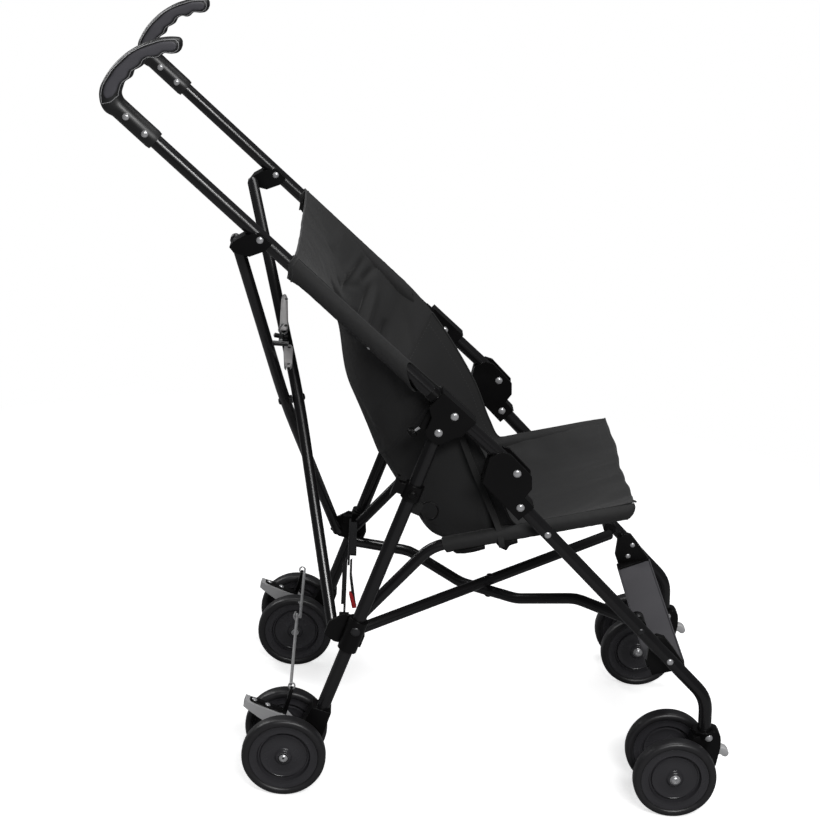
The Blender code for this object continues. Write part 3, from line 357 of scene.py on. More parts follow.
zinc = finish("zinc_plated_steel", (0.58, 0.58, 0.59), 0.28, metal=0.55, tone_scale=300, spread=0.08, depth=0.00002)
dark_steel = finish("dark_rivet_steel", (0.06, 0.06, 0.062), 0.34, metal=0.8, tone_scale=200)
BLOCK_HALF = 0.0138
SUNK = BLOCK_HALF - 0.0002
BAR_DOWN = 0.2934
SEAT_PIN = on_leg(0.0965)
RIVETED = (("clip_rivets_", "_frame", (on_handle(0.462, -0.001),), 0.0047, 0.0024),
           ("bracket_rivets_", "_frame", (on_handle(0.1165), LEG_PIVOT), 0.0056, 0.0027),
           ("knee_rivets_", "_front_leg", (KNEE, on_leg(0.04)), 0.0056, 0.0027))
for side, sign in SIDES:
    for name, body, points, radius, height in RIVETED:
        block_heads = [head for point in points for head in both_faces(point, sign, SUNK)]
        heads(name + side, side + body, block_heads, radius, height, zinc)
    boss_heads = both_faces(on_leg(BAR_DOWN), sign, 0.008)[:1]
    boss_heads.append((across(on_leg(BAR_DOWN) + Vector((0, 0, 0.0097)), sign * (SIDE_Y - 0.024)), (0.0, 0.0, 1.0)))
    heads("bar_rivet_" + side, side + "_front_leg", boss_heads, 0.0052, 0.0026, dark_steel)
    leg_heads = both_faces(SEAT_PIN, sign, 0.0092)[:1] + both_faces(on_leg(0.356), sign, 0.0094)[:1]
    heads("leg_rivets_" + side, side + "_front_leg", leg_heads, 0.0047, 0.0024, zinc)
    caster_heads = both_faces(on_stem(0.057, 0.004), sign, SUNK)
    heads("caster_rivets_" + side, side + "_caster", caster_heads, 0.0056, 0.0027, zinc)
    seat_heads = both_faces(LEG_PIVOT + DOWN_REAR_LEG * 0.3106, sign, BLOCK_HALF - 0.0005)[:1]
    heads("seat_rivet_" + side, side + "_rear_leg", seat_heads, 0.0066, 0.0021, dark_steel)


# The wheels: foam tyres on dished plastic hubs with a raised double ring, two to a corner on one axle.
# Each is a profile turned about the axle, and a zinc push-on cap ends the axle.

def tenths(*rows):
    """Rows of lengths in tenths of a millimetre, in metres."""
    return [[length / 10000 for length in row] for row in rows]


WHEEL_RADIUS = 0.0585
PAIR_HALF = 0.042
TYRE_HALF = tenths(
    (472, -81), (489, -100), (512, -110), (538, -109), (559, -101), (573, -86), (581, -63), (584.5, -34), (585, 0))
HUB_FACE = tenths(
    (43, 81), (92, 81), (103, 74), (118, 50), (131, 41), (240, 37), (306, 36), (313, 43), (320, 40), (326, 18),
    (334, 7), (350, 7), (361, 21), (366, 57), (371, 67), (380, 65), (420, 64), (448, 71), (462, 80), (472, 81))
CAP_PROFILE = tenths((0, 530), (12, 531), (22, 542), (36, 543), (50, 536), (60, 525), (65, 514), (72, 510), (72, 502))


def circle(sides):
    """Evenly spaced (cosine, sine) pairs, once round."""
    return [(cos(2 * pi * k / sides), sin(2 * pi * k / sides)) for k in range(sides)]


def lofted(rings, close=True):
    """(points, faces) of a skin over rings of equal count, with both ends closed."""
    n = len(rings[0])
    points = [p for ring in rings for p in ring]
    faces = []
    for start in range(0, len(points) - n, n):
        for k in range(n):
            a, b = start + k, start + (k + 1) % n
            faces.append((a, b, b + n, a + n))
    if close:
        faces += [tuple(range(n)), tuple(range(len(points) - n, len(points)))]
    return points, faces


def turned(profile, centre, sides):
    """(points, faces) of a profile of (radius, y) turned about the line along Y through this centre."""
    return lofted([[Vector((r * c, y, r * s)) + centre for c, s in circle(sides)] for r, y in profile], False)


def gathered(shapes):
    """Several (points, faces) as one."""
    points = []
    faces = []
    for more_points, more_faces in shapes:
        start = len(points)
        points += more_points
        faces += [tuple(start + i for i in face) for face in more_faces]
    return points, faces


def piece(name, shape, look, body, sharp=35.0):
    """A mesh object from (points, faces): doubles merged, faces out, smooth but for its sharp edges."""
    mesh = bpy.data.meshes.new(name)
    mesh.from_pydata(shape[0], [], shape[1])
    work = bmesh.new()
    work.from_mesh(mesh)
    bmesh.ops.remove_doubles(work, verts=work.verts, dist=0.000004)
    bmesh.ops.recalc_face_normals(work, faces=work.faces)
    work.to_mesh(mesh)
    work.free()
    mesh.shade_smooth()
    mesh.set_sharp_from_angle(angle=radians(sharp))
    mesh.materials.append(look)
    obj = placed(name, mesh)
    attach(obj, body)
    return obj


foam_tyre = finish("black_foam_tyre", (0.019, 0.0185, 0.02), 0.4, tone=0.14, tone_scale=60, grain=1600,
                   depth=0.00012, scuff=(0.04, 0.039, 0.04))
hub_plastic = finish("black_hub_plastic", (0.037, 0.036, 0.04), 0.24, grain=1200, depth=0.00004)
tyre_rings = TYRE_HALF + [(r, -y) for r, y in reversed(TYRE_HALF[:-1])] + TYRE_HALF[:1]
hub_rings = HUB_FACE + [(r, -y) for r, y in reversed(HUB_FACE)] + HUB_FACE[:1]
for corner, axle_x in (("rear", REAR_AXLE_X), ("front", REAR_AXLE_X + 0.546)):
    for side, sign in SIDES:
        carrier = side + ("_rear_leg" if corner == "rear" else "_caster")
        caps = []
        for place, out in (("outer", 1.0), ("inner", -1.0)):
            name = "%s_%s_%s" % (corner, side, place)
            centre = Vector((axle_x, sign * (SIDE_Y + out * PAIR_HALF), WHEEL_RADIUS))
            for part, profile, look, sharp, slot in (("tyre_", tyre_rings, foam_tyre, 60.0, "tyre"),
                                                     ("hub_", hub_rings, hub_plastic, 50.0, "plastic")):
                shape = turned(profile, centre, 96)
                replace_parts(piece(part + name + "_look", shape, look, "wheel_" + name, sharp), part + name)
            cap_rings = [(r, sign * out * y) for r, y in CAP_PROFILE]
            caps.append(turned(cap_rings, Vector((axle_x, sign * SIDE_Y, WHEEL_RADIUS)), 32))
        piece("axle_caps_%s_%s" % (corner, side), gathered(caps), zinc, carrier, 30.0)


# The grips: soft black hooks on the tops of the handles, scalloped inside for the fingers,
# with a smoother inlay along each face and a straight socket held by two small rivets.

GRIP_OUTER = tenths(
    (-2599, 9227), (-2690, 9275), (-2748, 9362), (-2771, 9480), (-2760, 9584), (-2726, 9668), (-2686, 9744),
    (-2640, 9815), (-2586, 9884), (-2526, 9950), (-2448, 10023), (-2350, 10094), (-2236, 10161), (-2130, 10204),
    (-2041, 10233), (-1960, 10250), (-1880, 10258), (-1800, 10256), (-1752, 10240))
GRIP_INNER = tenths(
    (-2433, 9427), (-2470, 9462), (-2493, 9520), (-2483, 9580), (-2458, 9658), (-2425, 9692), (-2366, 9738),
    (-2340, 9815), (-2292, 9846), (-2235, 9888), (-2200, 9958), (-2140, 9992), (-2078, 9984), (-2030, 10002),
    (-1985, 10050), (-1938, 10053), (-1885, 10053), (-1820, 10066), (-1768, 10085))


def curve_through(points, share):
    """A point at this share of a smooth curve through the given ones."""
    spans = len(points) - 1
    at = min(max(share, 0.0), 1.0) * spans
    k = min(int(at), spans - 1)
    t = at - k
    before, start, end, after = (Vector(points[i]) for i in (max(k - 1, 0), k, k + 1, min(k + 2, spans)))
    return 0.5 * ((2 * start) + (end - before) * t + (2 * before - 5 * start + 4 * end - after) * t * t
                  + (3 * start - before - 3 * end + after) * t * t * t)


def signed_power(value, power):
    return copysign(abs(value) ** power, value)


def grip_width(share):
    return 0.013 - 0.002 * share


SIDEWAYS = Vector((0, 1, 0))


def grip_shape(sign):
    """The hook, skinned between its outer and inner outlines and rounded over at its tip."""
    rings = []
    for i in range(13):
        p = across(on_handle(0.6405 + 0.0048 * i), sign * SIDE_Y)
        half = 0.013 if i else 0.0122
        rings.append([p - HANDLE_FRONT * (half * c) + SIDEWAYS * (half * s) for c, s in circle(32)])
    for i in range(65):
        share = i / 64
        outer, inner = curve_through(GRIP_OUTER, share), curve_through(GRIP_INNER, share)
        middle, reach = (outer + inner) / 2, (outer - inner) / 2
        squareness = 1.0 - 0.35 * min(share * 6.0, 1.0)
        closing = max(sqrt(max(0.0, 1.0 - max(0.0, (share - 0.93) / 0.07) ** 2)), 0.12)
        ring = []
        for c, s in circle(32):
            p = middle + reach * (signed_power(c, squareness) * closing)
            y = sign * SIDE_Y + grip_width(share) * signed_power(s, squareness) * closing
            ring.append(Vector((p.x + REAR_AXLE_X, y, p.y)))
        rings.append(ring)
    return lofted(rings)


def on_grip(sign, face, share, keep, raised):
    """A point just off one face of the hook, this share of the way along and this much of the way out."""
    inner = curve_through(GRIP_INNER, share)
    p = inner + (curve_through(GRIP_OUTER, share) - inner) * keep
    bulge = (1 - abs(keep * 2 - 1) ** (2 / 0.65)) ** 0.325
    return Vector((p.x + REAR_AXLE_X, sign * SIDE_Y + face * (grip_width(share) * bulge + raised), p.y))


def slab(front, back):
    """(points, faces) between two grids of the same size, closed round the border."""
    columns = len(front[0])
    half = len(front) * columns
    points = [p for row in front + back for p in row]
    faces = []
    for start in range(0, half - columns, columns):
        for a in range(start, start + columns - 1):
            faces.append((a, a + 1, a + columns + 1, a + columns))
            faces.append((half + a, half + a + columns, half + a + columns + 1, half + a + 1))
    border = [*range(columns), *range(2 * columns - 1, half, columns), *range(half - 2, half - columns - 1, -1),
              *range(half - 2 * columns, 0, -columns)]
    faces += [(b, a, half + a, half + b) for a, b in zip(border, border[1:] + border[:1])]
    return points, faces


def inlay_panel(sign, face):
    """The smooth raised panel on one face of the hook, sunk at its border so that a groove runs round it."""
    front, back = [], []
    for i in range(61):
        share = 0.128 + 0.805 * i / 60
        close = min(i, 60 - i) / 4
        keeps = [0.19 + 0.62 * k / 10 for k in range(11)]
        keeps = [keep + (0.5 - keep) * max(0.0, 1 - close) ** 2 * 0.7 for keep in keeps]
        lifts = [0.0009 if 0 < k < 10 and close >= 0.25 else -0.0006 for k in range(11)]
        front.append([on_grip(sign, face, share, keep, lift) for keep, lift in zip(keeps, lifts)])
        back.append([on_grip(sign, face, share, keep, -0.002) for keep in keeps])
    return slab(front, back)


def swept(path, radius, sides, closed=False):
    """(points, faces) of a round cord along a path of points."""
    count = len(path)
    rings = []
    normal = None
    for i, p in enumerate(path):
        before = path[(i - 1) % count] if closed or i else p
        after = path[(i + 1) % count] if closed or i < count - 1 else p
        tangent = (after - before).normalized()
        if normal is None:
            normal = tangent.orthogonal().normalized()
        normal = (normal - tangent * normal.dot(tangent)).normalized()
        other = tangent.cross(normal)
        rings.append([p + normal * (radius * c) + other * (radius * s) for c, s in circle(sides)])
    points, faces = lofted(rings, not closed)
    if closed:
        n = sides
        last = (count - 1) * n
        shift = min(range(n), key=lambda s: sum((rings[-1][k] - rings[0][(k + s) % n]).length for k in range(n)))
        for k in range(n):
            faces.append((last + k, last + (k + 1) % n, (k + 1 + shift) % n, (k + shift) % n))
    return points, faces


def grip_painted_highlight_rim(sign, face):
    """A thin light-grey cord round the inlay panel: a painted highlight for the light that the panel's raised edge
    catches.
    """
    loop = [(0.115 + 0.8 * i / 48, 0.885) for i in range(49)] + [(0.945, 0.72), (0.956, 0.48), (0.945, 0.26)]
    loop += [(0.915 - 0.8 * i / 64, 0.115) for i in range(65)] + [(0.098, 0.5)]
    return swept([on_grip(sign, face, share, keep, 0.0003) for share, keep in loop], 0.00058, 6, True)


soft_grip = finish("soft_black_grip", (0.0135, 0.0135, 0.014), 0.4, tone=0.1, grain=1800, depth=0.00004)
# The light-grey cord round each inlay is painted highlight: it stands for the light caught by the inlay's raised edge.
painted_highlight_look = finish("grip_inlay_painted_highlight", (0.3, 0.3, 0.305), 0.45, tone=0.08)
inlay_look = finish("grip_inlay_panel", (0.068, 0.066, 0.076), 0.55, tone=0.08, grain=1800, depth=0.00004)
for side, sign in SIDES:
    grip = piece("grip_" + side, grip_shape(sign), soft_grip, side + "_frame", 75.0)
    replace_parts(grip, "handle_grip_" + side)
    for name, shape, look in (("grip_inlay_", inlay_panel, inlay_look), ("grip_painted_highlight_rim_", grip_painted_highlight_rim, painted_highlight_look)):
        faces = gathered([shape(sign, 1.0), shape(sign, -1.0)])
        piece(name + side, faces, look, side + "_frame", 60.0)
    socket_heads = both_faces(on_handle(0.657), sign, 0.0126) + both_faces(on_handle(0.688), sign, 0.0126)
    heads("grip_rivets_" + side, side + "_frame", socket_heads, 0.0046, 0.0026, zinc)


# The folding stay between the struts: two light-grey stamped arms side by side, pinned at their outer ends
# and hinged in the middle. Pressed plates with turned-down edges take the place of the plain solids.

galvanised = finish("galvanised_plate", (0.42, 0.41, 0.41), 0.44, metal=0.3, tone=0.22, tone_scale=90, spread=0.1,
                    edge=0.0005, scuff=(0.55, 0.54, 0.54))
RIM = 0.004


def from_axle(points, y=None):
    """Points with x counted from the rear axle: (x, y, z), or (x, z) where one y is given."""
    return [Vector((p[0] + REAR_AXLE_X, p[1] if y is None else y, p[-1])) for p in points]


def smooth_path(points, count):
    return [curve_through(points, k / count) for k in range(count + 1)]


def stay_plate(corners):
    """A pressed plate between four corners, with both long edges turned down by the rim."""
    front, back = [], []
    a, b, c, d = from_axle(corners)
    for i in range(25):
        t = i / 24
        left = a.lerp(d, t)
        right = b.lerp(c, t)
        round_off = 0.0026 * (1 - min(1.0, min(i, 24 - i) / 3)) ** 2
        over = (right - left).normalized()
        dips = ((0.0, RIM), (0.05, 0.0003), (0.22, -0.0004), (0.78, -0.0004), (0.95, 0.0003), (1.0, RIM))
        line = [left + over * round_off + (right - left - over * 2 * round_off) * share - Vector((0, 0, dip))
                for share, dip in dips]
        front.append(line)
        back.append([p - Vector((0, 0, 0.0011)) for p in line])
    return slab(front, back)


def softened(obj, width, segments=2):
    """Rounds the piece's edges with a bevel that is applied at once."""
    mesh = obj.data
    work = bmesh.new()
    work.from_mesh(mesh)
    edges = [e for e in work.edges if len(e.link_faces) == 2 and e.calc_face_angle() > 0.5]
    bmesh.ops.bevel(work, geom=edges, offset=width, segments=segments, profile=0.5, affect="EDGES", clamp_overlap=True)
    work.to_mesh(mesh)
    work.free()
    mesh.shade_smooth()
    mesh.set_sharp_from_angle(angle=radians(40))
    return obj


def plastic(name, shape, body, sharp=30.0, rounding=0.0):
    """A black moulded piece, with its edges rounded if a width is given."""
    obj = piece(name, shape, moulded, body, sharp)
    return softened(obj, rounding) if rounding else obj


FAR_PLATE = tenths((-480, 780, 6290), (-385, 780, 6290), (-325, 30, 5985), (-455, 30, 5975))
NEAR_PLATE = tenths((-385, -30, 5785), (-240, -30, 5790), (-226, -780, 5722), (-330, -780, 5700))
FAR_PINS = tenths((-400, 680, 6252), (-370, 120, 6025))
NEAR_PINS = tenths((-300, -130, 5783), (-280, -700, 5724))
for side, link, corners in (("left", "link_upper", FAR_PLATE), ("right", "link_lower", NEAR_PLATE)):
    plate = piece("stay_plate_" + side, stay_plate(corners), galvanised, side + "_stay", 30.0)
    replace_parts(plate, link)
for side, pins, facing in (("left", FAR_PINS, (0.0, -0.37, 0.93)), ("right", NEAR_PINS, (0.0, 0.1, 0.99))):
    pin_heads = [(pin, facing) for pin in from_axle(pins)]
    heads("stay_rivets_" + side, side + "_stay", pin_heads, 0.0024, 0.0013, dark_steel)
HINGE_ENDS = tenths((-418, -140, 5880), (-418, 140, 5900), (-520, 20, 5905), (-330, 20, 5880), (-418, -142, 5880))
CLIP = tenths((-405, 6080), (-440, 6030), (-462, 5980), (-440, 5940), (-390, 5925), (-350, 5950))
ends = from_axle(HINGE_ENDS)
plastic("stay_hinge", gathered([swept(ends[:2], 0.0034, 16), swept(ends[2:4], 0.0034, 16)]), "left_stay", 40.0)
piece("stay_clip", swept(smooth_path(from_axle(CLIP, 0.004), 24), 0.0013, 8), zinc, "left_stay", 50.0)
hinge_heads = [(ends[4], (0.0, -1.0, 0.0)), (ends[2], (-1.0, 0.0, 0.1))]
heads("stay_hinge_rivets", "left_stay", hinge_heads, 0.0026, 0.0013, zinc)


# The lock across the rear legs: two painted channel arms, which the release lever breaks at the middle.
# The lever is thin painted strip, dipped in red at the end that the foot presses.

LEVER_TIP = tenths((830, 2010), (911, 1778), (846, 1764), (780, 2005))
red_dip = finish("red_dipped_plastic", (0.55, 0.018, 0.022), 0.38, tone=0.1)


def bar_of(outline, low_y, high_y):
    """(points, faces) of an outline of (x, z) points carried across from one y to another."""
    n = len(outline)
    points = [Vector((x, y, z)) for y in (low_y, high_y) for x, z in outline]
    faces = [tuple(range(n)), tuple(range(n, 2 * n))]
    faces += [(k, (k + 1) % n, n + (k + 1) % n, n + k) for k in range(n)]
    return points, faces


def sliced(outline, y, half):
    """(points, faces) of an (x, z) outline counted from the rear axle, carried across this far on both sides of y."""
    return bar_of([(x + REAR_AXLE_X, z) for x, z in outline], y - half, y + half)


softened(piece("lever_tip", sliced(LEVER_TIP, 0.0, 0.005), red_dip, "lock_lever"), 0.0012)


# The brakes: a grey wedge pedal behind each rear corner with a dark cover plate held by two rivets,
# a black strap up to a thin steel rod, and a zinc-plated hook where they meet.

pedal_grey = finish("grey_pedal_plastic", (0.46, 0.46, 0.465), 0.46, tone=0.1, grain=1300, depth=0.00005,
                    edge=0.0008, scuff=(0.55, 0.55, 0.555))
rod_steel = finish("dull_steel_rod", (0.46, 0.46, 0.465), 0.36, metal=0.35, tone=0.14, tone_scale=120)
PEDAL_STRAP = tenths((-68, 975), (30, 1412), (78, 1400), (-12, 965))
PEDAL_SLOPE = Vector((-0.059, 0.0, 0.0215)).normalized()
PEDAL_LIFT = Vector((0.0215, 0.0, 0.059)).normalized()
for side, sign in SIDES:
    dress("brake_pedal_" + side, pedal_grey)
    dress("brake_link_" + side, rod_steel)
    pedal = side + "_pedal"
    middle_y = sign * SIDE_Y
    top = Vector((REAR_AXLE_X + 0.001, middle_y, 0.1005))
    outline = [top + PEDAL_SLOPE * (0.031 + 0.026 * signed_power(c, 0.45))
               + Vector((0, 0.0078 * signed_power(s, 0.6), 0)) for c, s in circle(24)]
    cover = lofted([[p + PEDAL_LIFT * h for p in outline] for h in (0.0001, 0.0016)])
    plastic("pedal_cover_" + side, cover, pedal, rounding=0.0005)
    pedal_heads = [(top + PEDAL_SLOPE * reach + PEDAL_LIFT * 0.0015, PEDAL_LIFT) for reach in (0.03, 0.05)]
    heads("pedal_rivets_" + side, pedal, pedal_heads, 0.0038, 0.0022, zinc)
    plastic("pedal_strap_" + side, sliced(PEDAL_STRAP, middle_y, 0.0056), pedal, rounding=0.0006)
    loop = [Vector((REAR_AXLE_X + 0.005 + 0.0042 * c, middle_y, 0.1436 + 0.005 * s)) for c, s in circle(24)]
    piece("rod_hook_" + side, swept(loop, 0.0012, 8, True), zinc, pedal, 50.0)


COIL = tenths((52, 1820), (76, 1760), (88, 1680), (72, 1600), (16, 1530), (-8, 1580), (16, 1660))
coil = from_axle(smooth_path(COIL, 36), -0.004)
piece("rod_clip", swept(coil, 0.0013, 8), zinc, "right_brake_rod", 50.0)


# The footrest: one flat tray of grey plastic across the front legs, with turned-up edges and a row of shallow ribs,
# screwed to a black bracket on each leg.

TRAY_ALONG = heading(radians(14.0))
TRAY_UP = heading(radians(104.0))
TRAY_MIDDLE = Vector((REAR_AXLE_X + 0.527, 0.0, 0.196))
TRAY_HALF = 0.1742
EAR = tenths(
    (4975, 2380), (4965, 2100), (5060, 1880), (5480, 2000), (5510, 2060), (5330, 2290), (5180, 2460), (5060, 2490))


def on_tray(along, up):
    return TRAY_MIDDLE + TRAY_ALONG * along + TRAY_UP * up


def fold_squash(obj):
    """Gives a soft or sliding piece a mesh of its own."""
    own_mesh(obj)


tray_grey = finish("grey_tray_plastic", (0.083, 0.081, 0.088), 0.52, tone=0.07, tone_scale=14, grain=1400,
                   depth=0.00005, edge=0.0007, scuff=(0.115, 0.113, 0.12))
SECTION = tenths((-262, -2), (262, -2), (266, 60), (250, 66), (240, 46), (-240, 46), (-250, 66), (-266, 60))
ribs = [(0.0215 - 0.043 * k / 12, 0.0043 + 0.0005 * (k % 2)) for k in range(13)]
outline = [on_tray(along, up) for along, up in SECTION[:5] + ribs + SECTION[5:]]
tray = bar_of([(p.x, p.z) for p in outline], -TRAY_HALF, TRAY_HALF)
footrest = piece("footrest_tray", tray, tray_grey, "right_front_leg", 32.0)
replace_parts(footrest, "footrest")
fold_squash(footrest)
for side, sign in SIDES:
    leg = side + "_front_leg"
    low = SIDE_Y - 0.0232 + 0.0026 if sign > 0 else -SIDE_Y + 0.01 - 0.0006
    plastic("footrest_bracket_" + side, sliced(EAR, low + 0.0055, 0.0055), leg, rounding=0.001)
    screws = from_axle(((0.5215, 0.23), (0.5165, 0.211)), sign * (SIDE_Y - 0.0206))
    heads("footrest_rivets_" + side, leg, [(screw, (0, -sign, 0)) for screw in screws], 0.004, 0.002, zinc)
    corner = [across(on_tray(a, 0.005), sign * y)
              for a, y in ((-0.0262, 0.1545), (-0.0262, 0.1745), (0.0258, 0.1745), (0.024, 0.1725))]
    plastic("footrest_corner_" + side, lofted([corner, [p + TRAY_UP * 0.0024 for p in corner]]), leg)
    boss = [[across(on_leg(BAR_DOWN + r * c, r * s), sign * (SIDE_Y - out)) for c, s in circle(28)]
            for out, r in ((0.007, 0.0098), (0.0372, 0.0098), (0.0382, 0.0088))]
    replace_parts(plastic("bar_boss_" + side, lofted(boss), leg, 40.0), "bar_bracket_" + side)


# The casters: each front housing has a translucent grey lever in front that locks its swivel,
# and a thin cup round the end of the leg.

lever_grey = finish("milky_grey_lever", (0.52, 0.52, 0.525), 0.35, tone=0.1, grain=900)
HOUSING = tenths(
    (5722, 1030), (5745, 1065), (5800, 1085), (5965, 1095), (5975, 1160), (6010, 1172), (6060, 1155), (6098, 1105),
    (6112, 1040), (6120, 911), (6092, 640), (6040, 555), (5720, 500), (5500, 440), (5380, 450), (5325, 560),
    (5360, 690), (5480, 780), (5640, 890), (5705, 950))
LEVER = tenths(
    (6100, 905), (6165, 900), (6220, 882), (6262, 830), (6266, 785), (6235, 748), (6185, 755), (6150, 785),
    (6100, 780))
CUP = tenths((610, 125), (600, 145), (520, 158), (500, 165), (488, 163), (484, 150), (492, 100), (530, 90), (590, 90))
for side, sign in SIDES:
    middle_y = sign * SIDE_Y
    housing = plastic("caster_body_" + side, sliced(HOUSING, middle_y, 0.0128), side + "_caster", rounding=0.0012)
    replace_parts(housing, "caster_housing_" + side)
    cup = [[across(on_stem(down, r * c), middle_y + r * s) for c, s in circle(40)] for down, r in CUP]
    plastic("caster_cup_" + side, lofted(cup), side + "_caster", 40.0)
    lever = piece("caster_lever_" + side, sliced(LEVER, middle_y, 0.007), lever_grey, side + "_caster_lock", 30.0)
    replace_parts(softened(lever, 0.0018, 3), "caster_lock_" + side)


# The seat: black woven polyester, one length hung between the handle tubes and wrapped round them,
# and one slung between the seat tubes with a side wing up to each handle. Hems are turned and stitched.

def woven(name, colour, pitch):
    """A plain weave on the piece's own UV map, in metres, with drifting tone and a soft sheen."""
    look = finish(name, colour, 0.8, tone=0.1, tone_scale=9, spread=0.05, sheen=0.06)
    tree = look.node_tree
    tree.nodes["Principled BSDF"].inputs["Sheen Roughness"].default_value = 0.45
    uv = add(tree, "ShaderNodeTexCoord")
    crossing = add(tree, "ShaderNodeMath")
    crossing.operation = "ADD"
    for socket, axis in enumerate("XY"):
        wave = add(tree, "ShaderNodeTexWave", {"Scale": 0.314 / pitch, "Distortion": 0.6, "Detail Scale": 0.5})
        wave.bands_direction = axis
        wire(tree, (uv, "UV", wave, "Vector"), (wave, 1, crossing, socket))
    bump = tree.nodes["Bump"]
    wire(tree, (crossing, 0, bump, "Height"))
    bump.inputs["Distance"].default_value = 0.0001
    bump.inputs["Strength"].default_value = 0.6
    return look


weave = woven("black_woven_polyester", (0.0132, 0.0132, 0.0135), 0.0009)
webbing = woven("black_webbing", (0.0066, 0.0066, 0.0067), 0.0016)
BACK_MIDDLE = tenths((-220, 7490), (100, 6940), (358, 6265), (511, 5572), (752, 5041), (1034, 4409))
SEAT_MIDDLE = tenths(
    (1034, 4409), (1270, 4075), (1521, 3747), (1828, 3366), (2350, 3370), (2880, 3480), (3450, 3700), (4020, 3970),
    (4590, 4235))
WING_EDGE = tenths((1765, 1745, 5885), (2095, 1720, 5460), (2490, 1710, 4850), (2760, 1710, 4270), (2970, 1715, 3970))
CLOTH = 0.0012


def crease(u, v, start, end, width, depth):
    """How deep a crease between two (u, v) points is here: a soft ridge that dies away at both ends."""
    su, sv = start
    du, dv = end[0] - su, end[1] - sv
    length = hypot(du, dv)
    t = ((u - su) * du + (v - sv) * dv) / (length * length)
    near = min(max(t, 0.0), 1.0)
    off = hypot(u - su - near * du, v - sv - near * dv)
    fade = sin(pi * min(max((t + 0.15) / 1.3, 0.0), 1.0))
    return depth * fade * exp(-(off / width) ** 2)


def creases(*rows):
    """Creases from u, v to u, v in hundredths, with width in thousandths and depth in tenths of a millimetre."""
    return [((u / 100, v / 100), (to_u / 100, to_v / 100), width / 1000, depth / 10000)
            for u, v, to_u, to_v, width, depth in rows]


BACK_CREASES = creases(
    (60, 86, 63, 48, 30, -100), (65, 84, 68, 50, 30, 50), (30, 16, 58, 60, 22, -80), (79, 76, 85, 58, 26, -85),
    (46, 93, 35, 45, 24, 55), (49, 93, 40, 45, 20, -35), (58, 96, 53, 80, 22, -60), (40, 60, 52, 76, 22, -45),
    (10, -93, 24, -80, 18, -40), (20, -98, 36, -90, 16, -62), (17, -96, 30, -74, 20, 42), (36, -98, 27, -72, 17, -58),
    (40, -97, 34, -66, 20, 40), (47, -96, 40, -60, 18, -42), (56, -97, 50, -78, 16, -34), (24, -66, 44, -40, 40, 30),
    (30, 98, 24, 60, 30, 36), (48, 95, 40, 50, 34, -34), (62, 93, 58, 50, 40, 30), (72, 96, 96, 80, 30, -30),
    (68, -30, 92, -45, 50, 26), (66, 25, 93, 40, 55, -24), (14, -30, 20, 50, 60, 18), (74, -92, 96, -70, 30, 30))
SEAT_CREASES = creases(
    (4, -80, 20, -52, 40, 30), (30, -96, 50, -72, 28, -26), (4, 80, 20, 52, 40, 28), (30, 96, 50, 72, 28, -26),
    (64, -95, 72, -60, 30, -22), (74, -96, 80, -66, 26, 20), (64, 95, 74, 55, 30, 22), (80, 96, 86, 60, 26, -20),
    (88, -80, 94, -10, 40, 20), (86, 70, 95, 20, 40, -18), (52, -50, 58, 50, 50, -26), (16, -30, 40, 0, 70, 26))


def boxed(v, amount):
    """(y, height) shares of a hanging row at v: from a slack curve to a bucket with upright sides."""
    turn = abs(v) * pi / 2
    c, s = cos(turn), sin(turn)
    r = (c ** 3.6 + s ** 3.6) ** (-1 / 3.6)
    out = abs(v) + (r * s - abs(v)) * amount
    up = abs(v) ** 2.3 + (1 - r * c - abs(v) ** 2.3) * amount
    return copysign(out, v), up


def sling_grid(edge_of, middle_points, box_of, stations, columns, creases, seed):
    """Rows of points across a sheet that hangs from its side edges, with its creases and a slight waver."""
    base = []
    for i in range(stations + 1):
        u = i / stations
        edge = edge_of(u)
        p = curve_through(middle_points, u)
        middle = Vector((p.x + REAR_AXLE_X, 0.0, p.y))
        row = []
        for k in range(columns + 1):
            out, pull = boxed(2 * k / columns - 1, box_of(u))
            row.append(Vector((middle.x + (edge.x - middle.x) * pull, edge.y * out,
                               middle.z + (edge.z - middle.z) * pull)))
        base.append(row)
    grid = []
    for i, row in enumerate(base):
        u = i / stations
        out = []
        for k, p in enumerate(row):
            v = 2 * k / columns - 1
            along = base[min(i + 1, stations)][k] - base[max(i - 1, 0)][k]
            over = row[min(k + 1, columns)] - row[max(k - 1, 0)]
            depth = sum(crease(u, v, *c) for c in creases)
            depth += 0.0016 * noise.noise(Vector((u * 3.0 + seed, v * 2.2, 0.3)))
            depth += 0.0006 * noise.noise(Vector((u * 11.0, v * 9.0 + seed, 1.7)))
            out.append(p + along.cross(over).normalized() * (depth * (1 - abs(v) ** 8)))
        grid.append(out)
    return grid


def measured(path):
    """The length run at each point of a path."""
    runs = [0.0]
    for a, b in zip(path, path[1:]):
        runs.append(runs[-1] + (b - a).length)
    return runs


def sheet_piece(name, grid, look, body, thickness=CLOTH):
    """A thin cloth from rows of points, with a UV map in metres, thickened both ways."""
    rows, columns = len(grid), len(grid[0])
    mesh = bpy.data.meshes.new(name)
    corners = [i * columns + k for i in range(rows - 1) for k in range(columns - 1)]
    faces = [(a, a + 1, a + columns + 1, a + columns) for a in corners]
    mesh.from_pydata([p for row in grid for p in row], [], faces)
    across_at = measured(grid[rows // 2])
    along_at = measured([row[columns // 2] for row in grid])
    layer = mesh.uv_layers.new(name="weave")
    for loop in mesh.loops:
        i, k = divmod(loop.vertex_index, columns)
        layer.data[loop.index].uv = (across_at[k], along_at[i])
    obj = placed(name, mesh)
    thick = obj.modifiers.new("thickness", "SOLIDIFY")
    thick.thickness = thickness
    thick.offset = 0.0
    plain = made_plain(obj, name, look)
    plain.data.shade_smooth()
    plain.data.set_sharp_from_angle(angle=radians(60))
    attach(plain, body)
    return plain


def eased(x, low, high):
    t = min(max((x - low) / (high - low), 0.0), 1.0)
    return t * t * (3 - 2 * t)


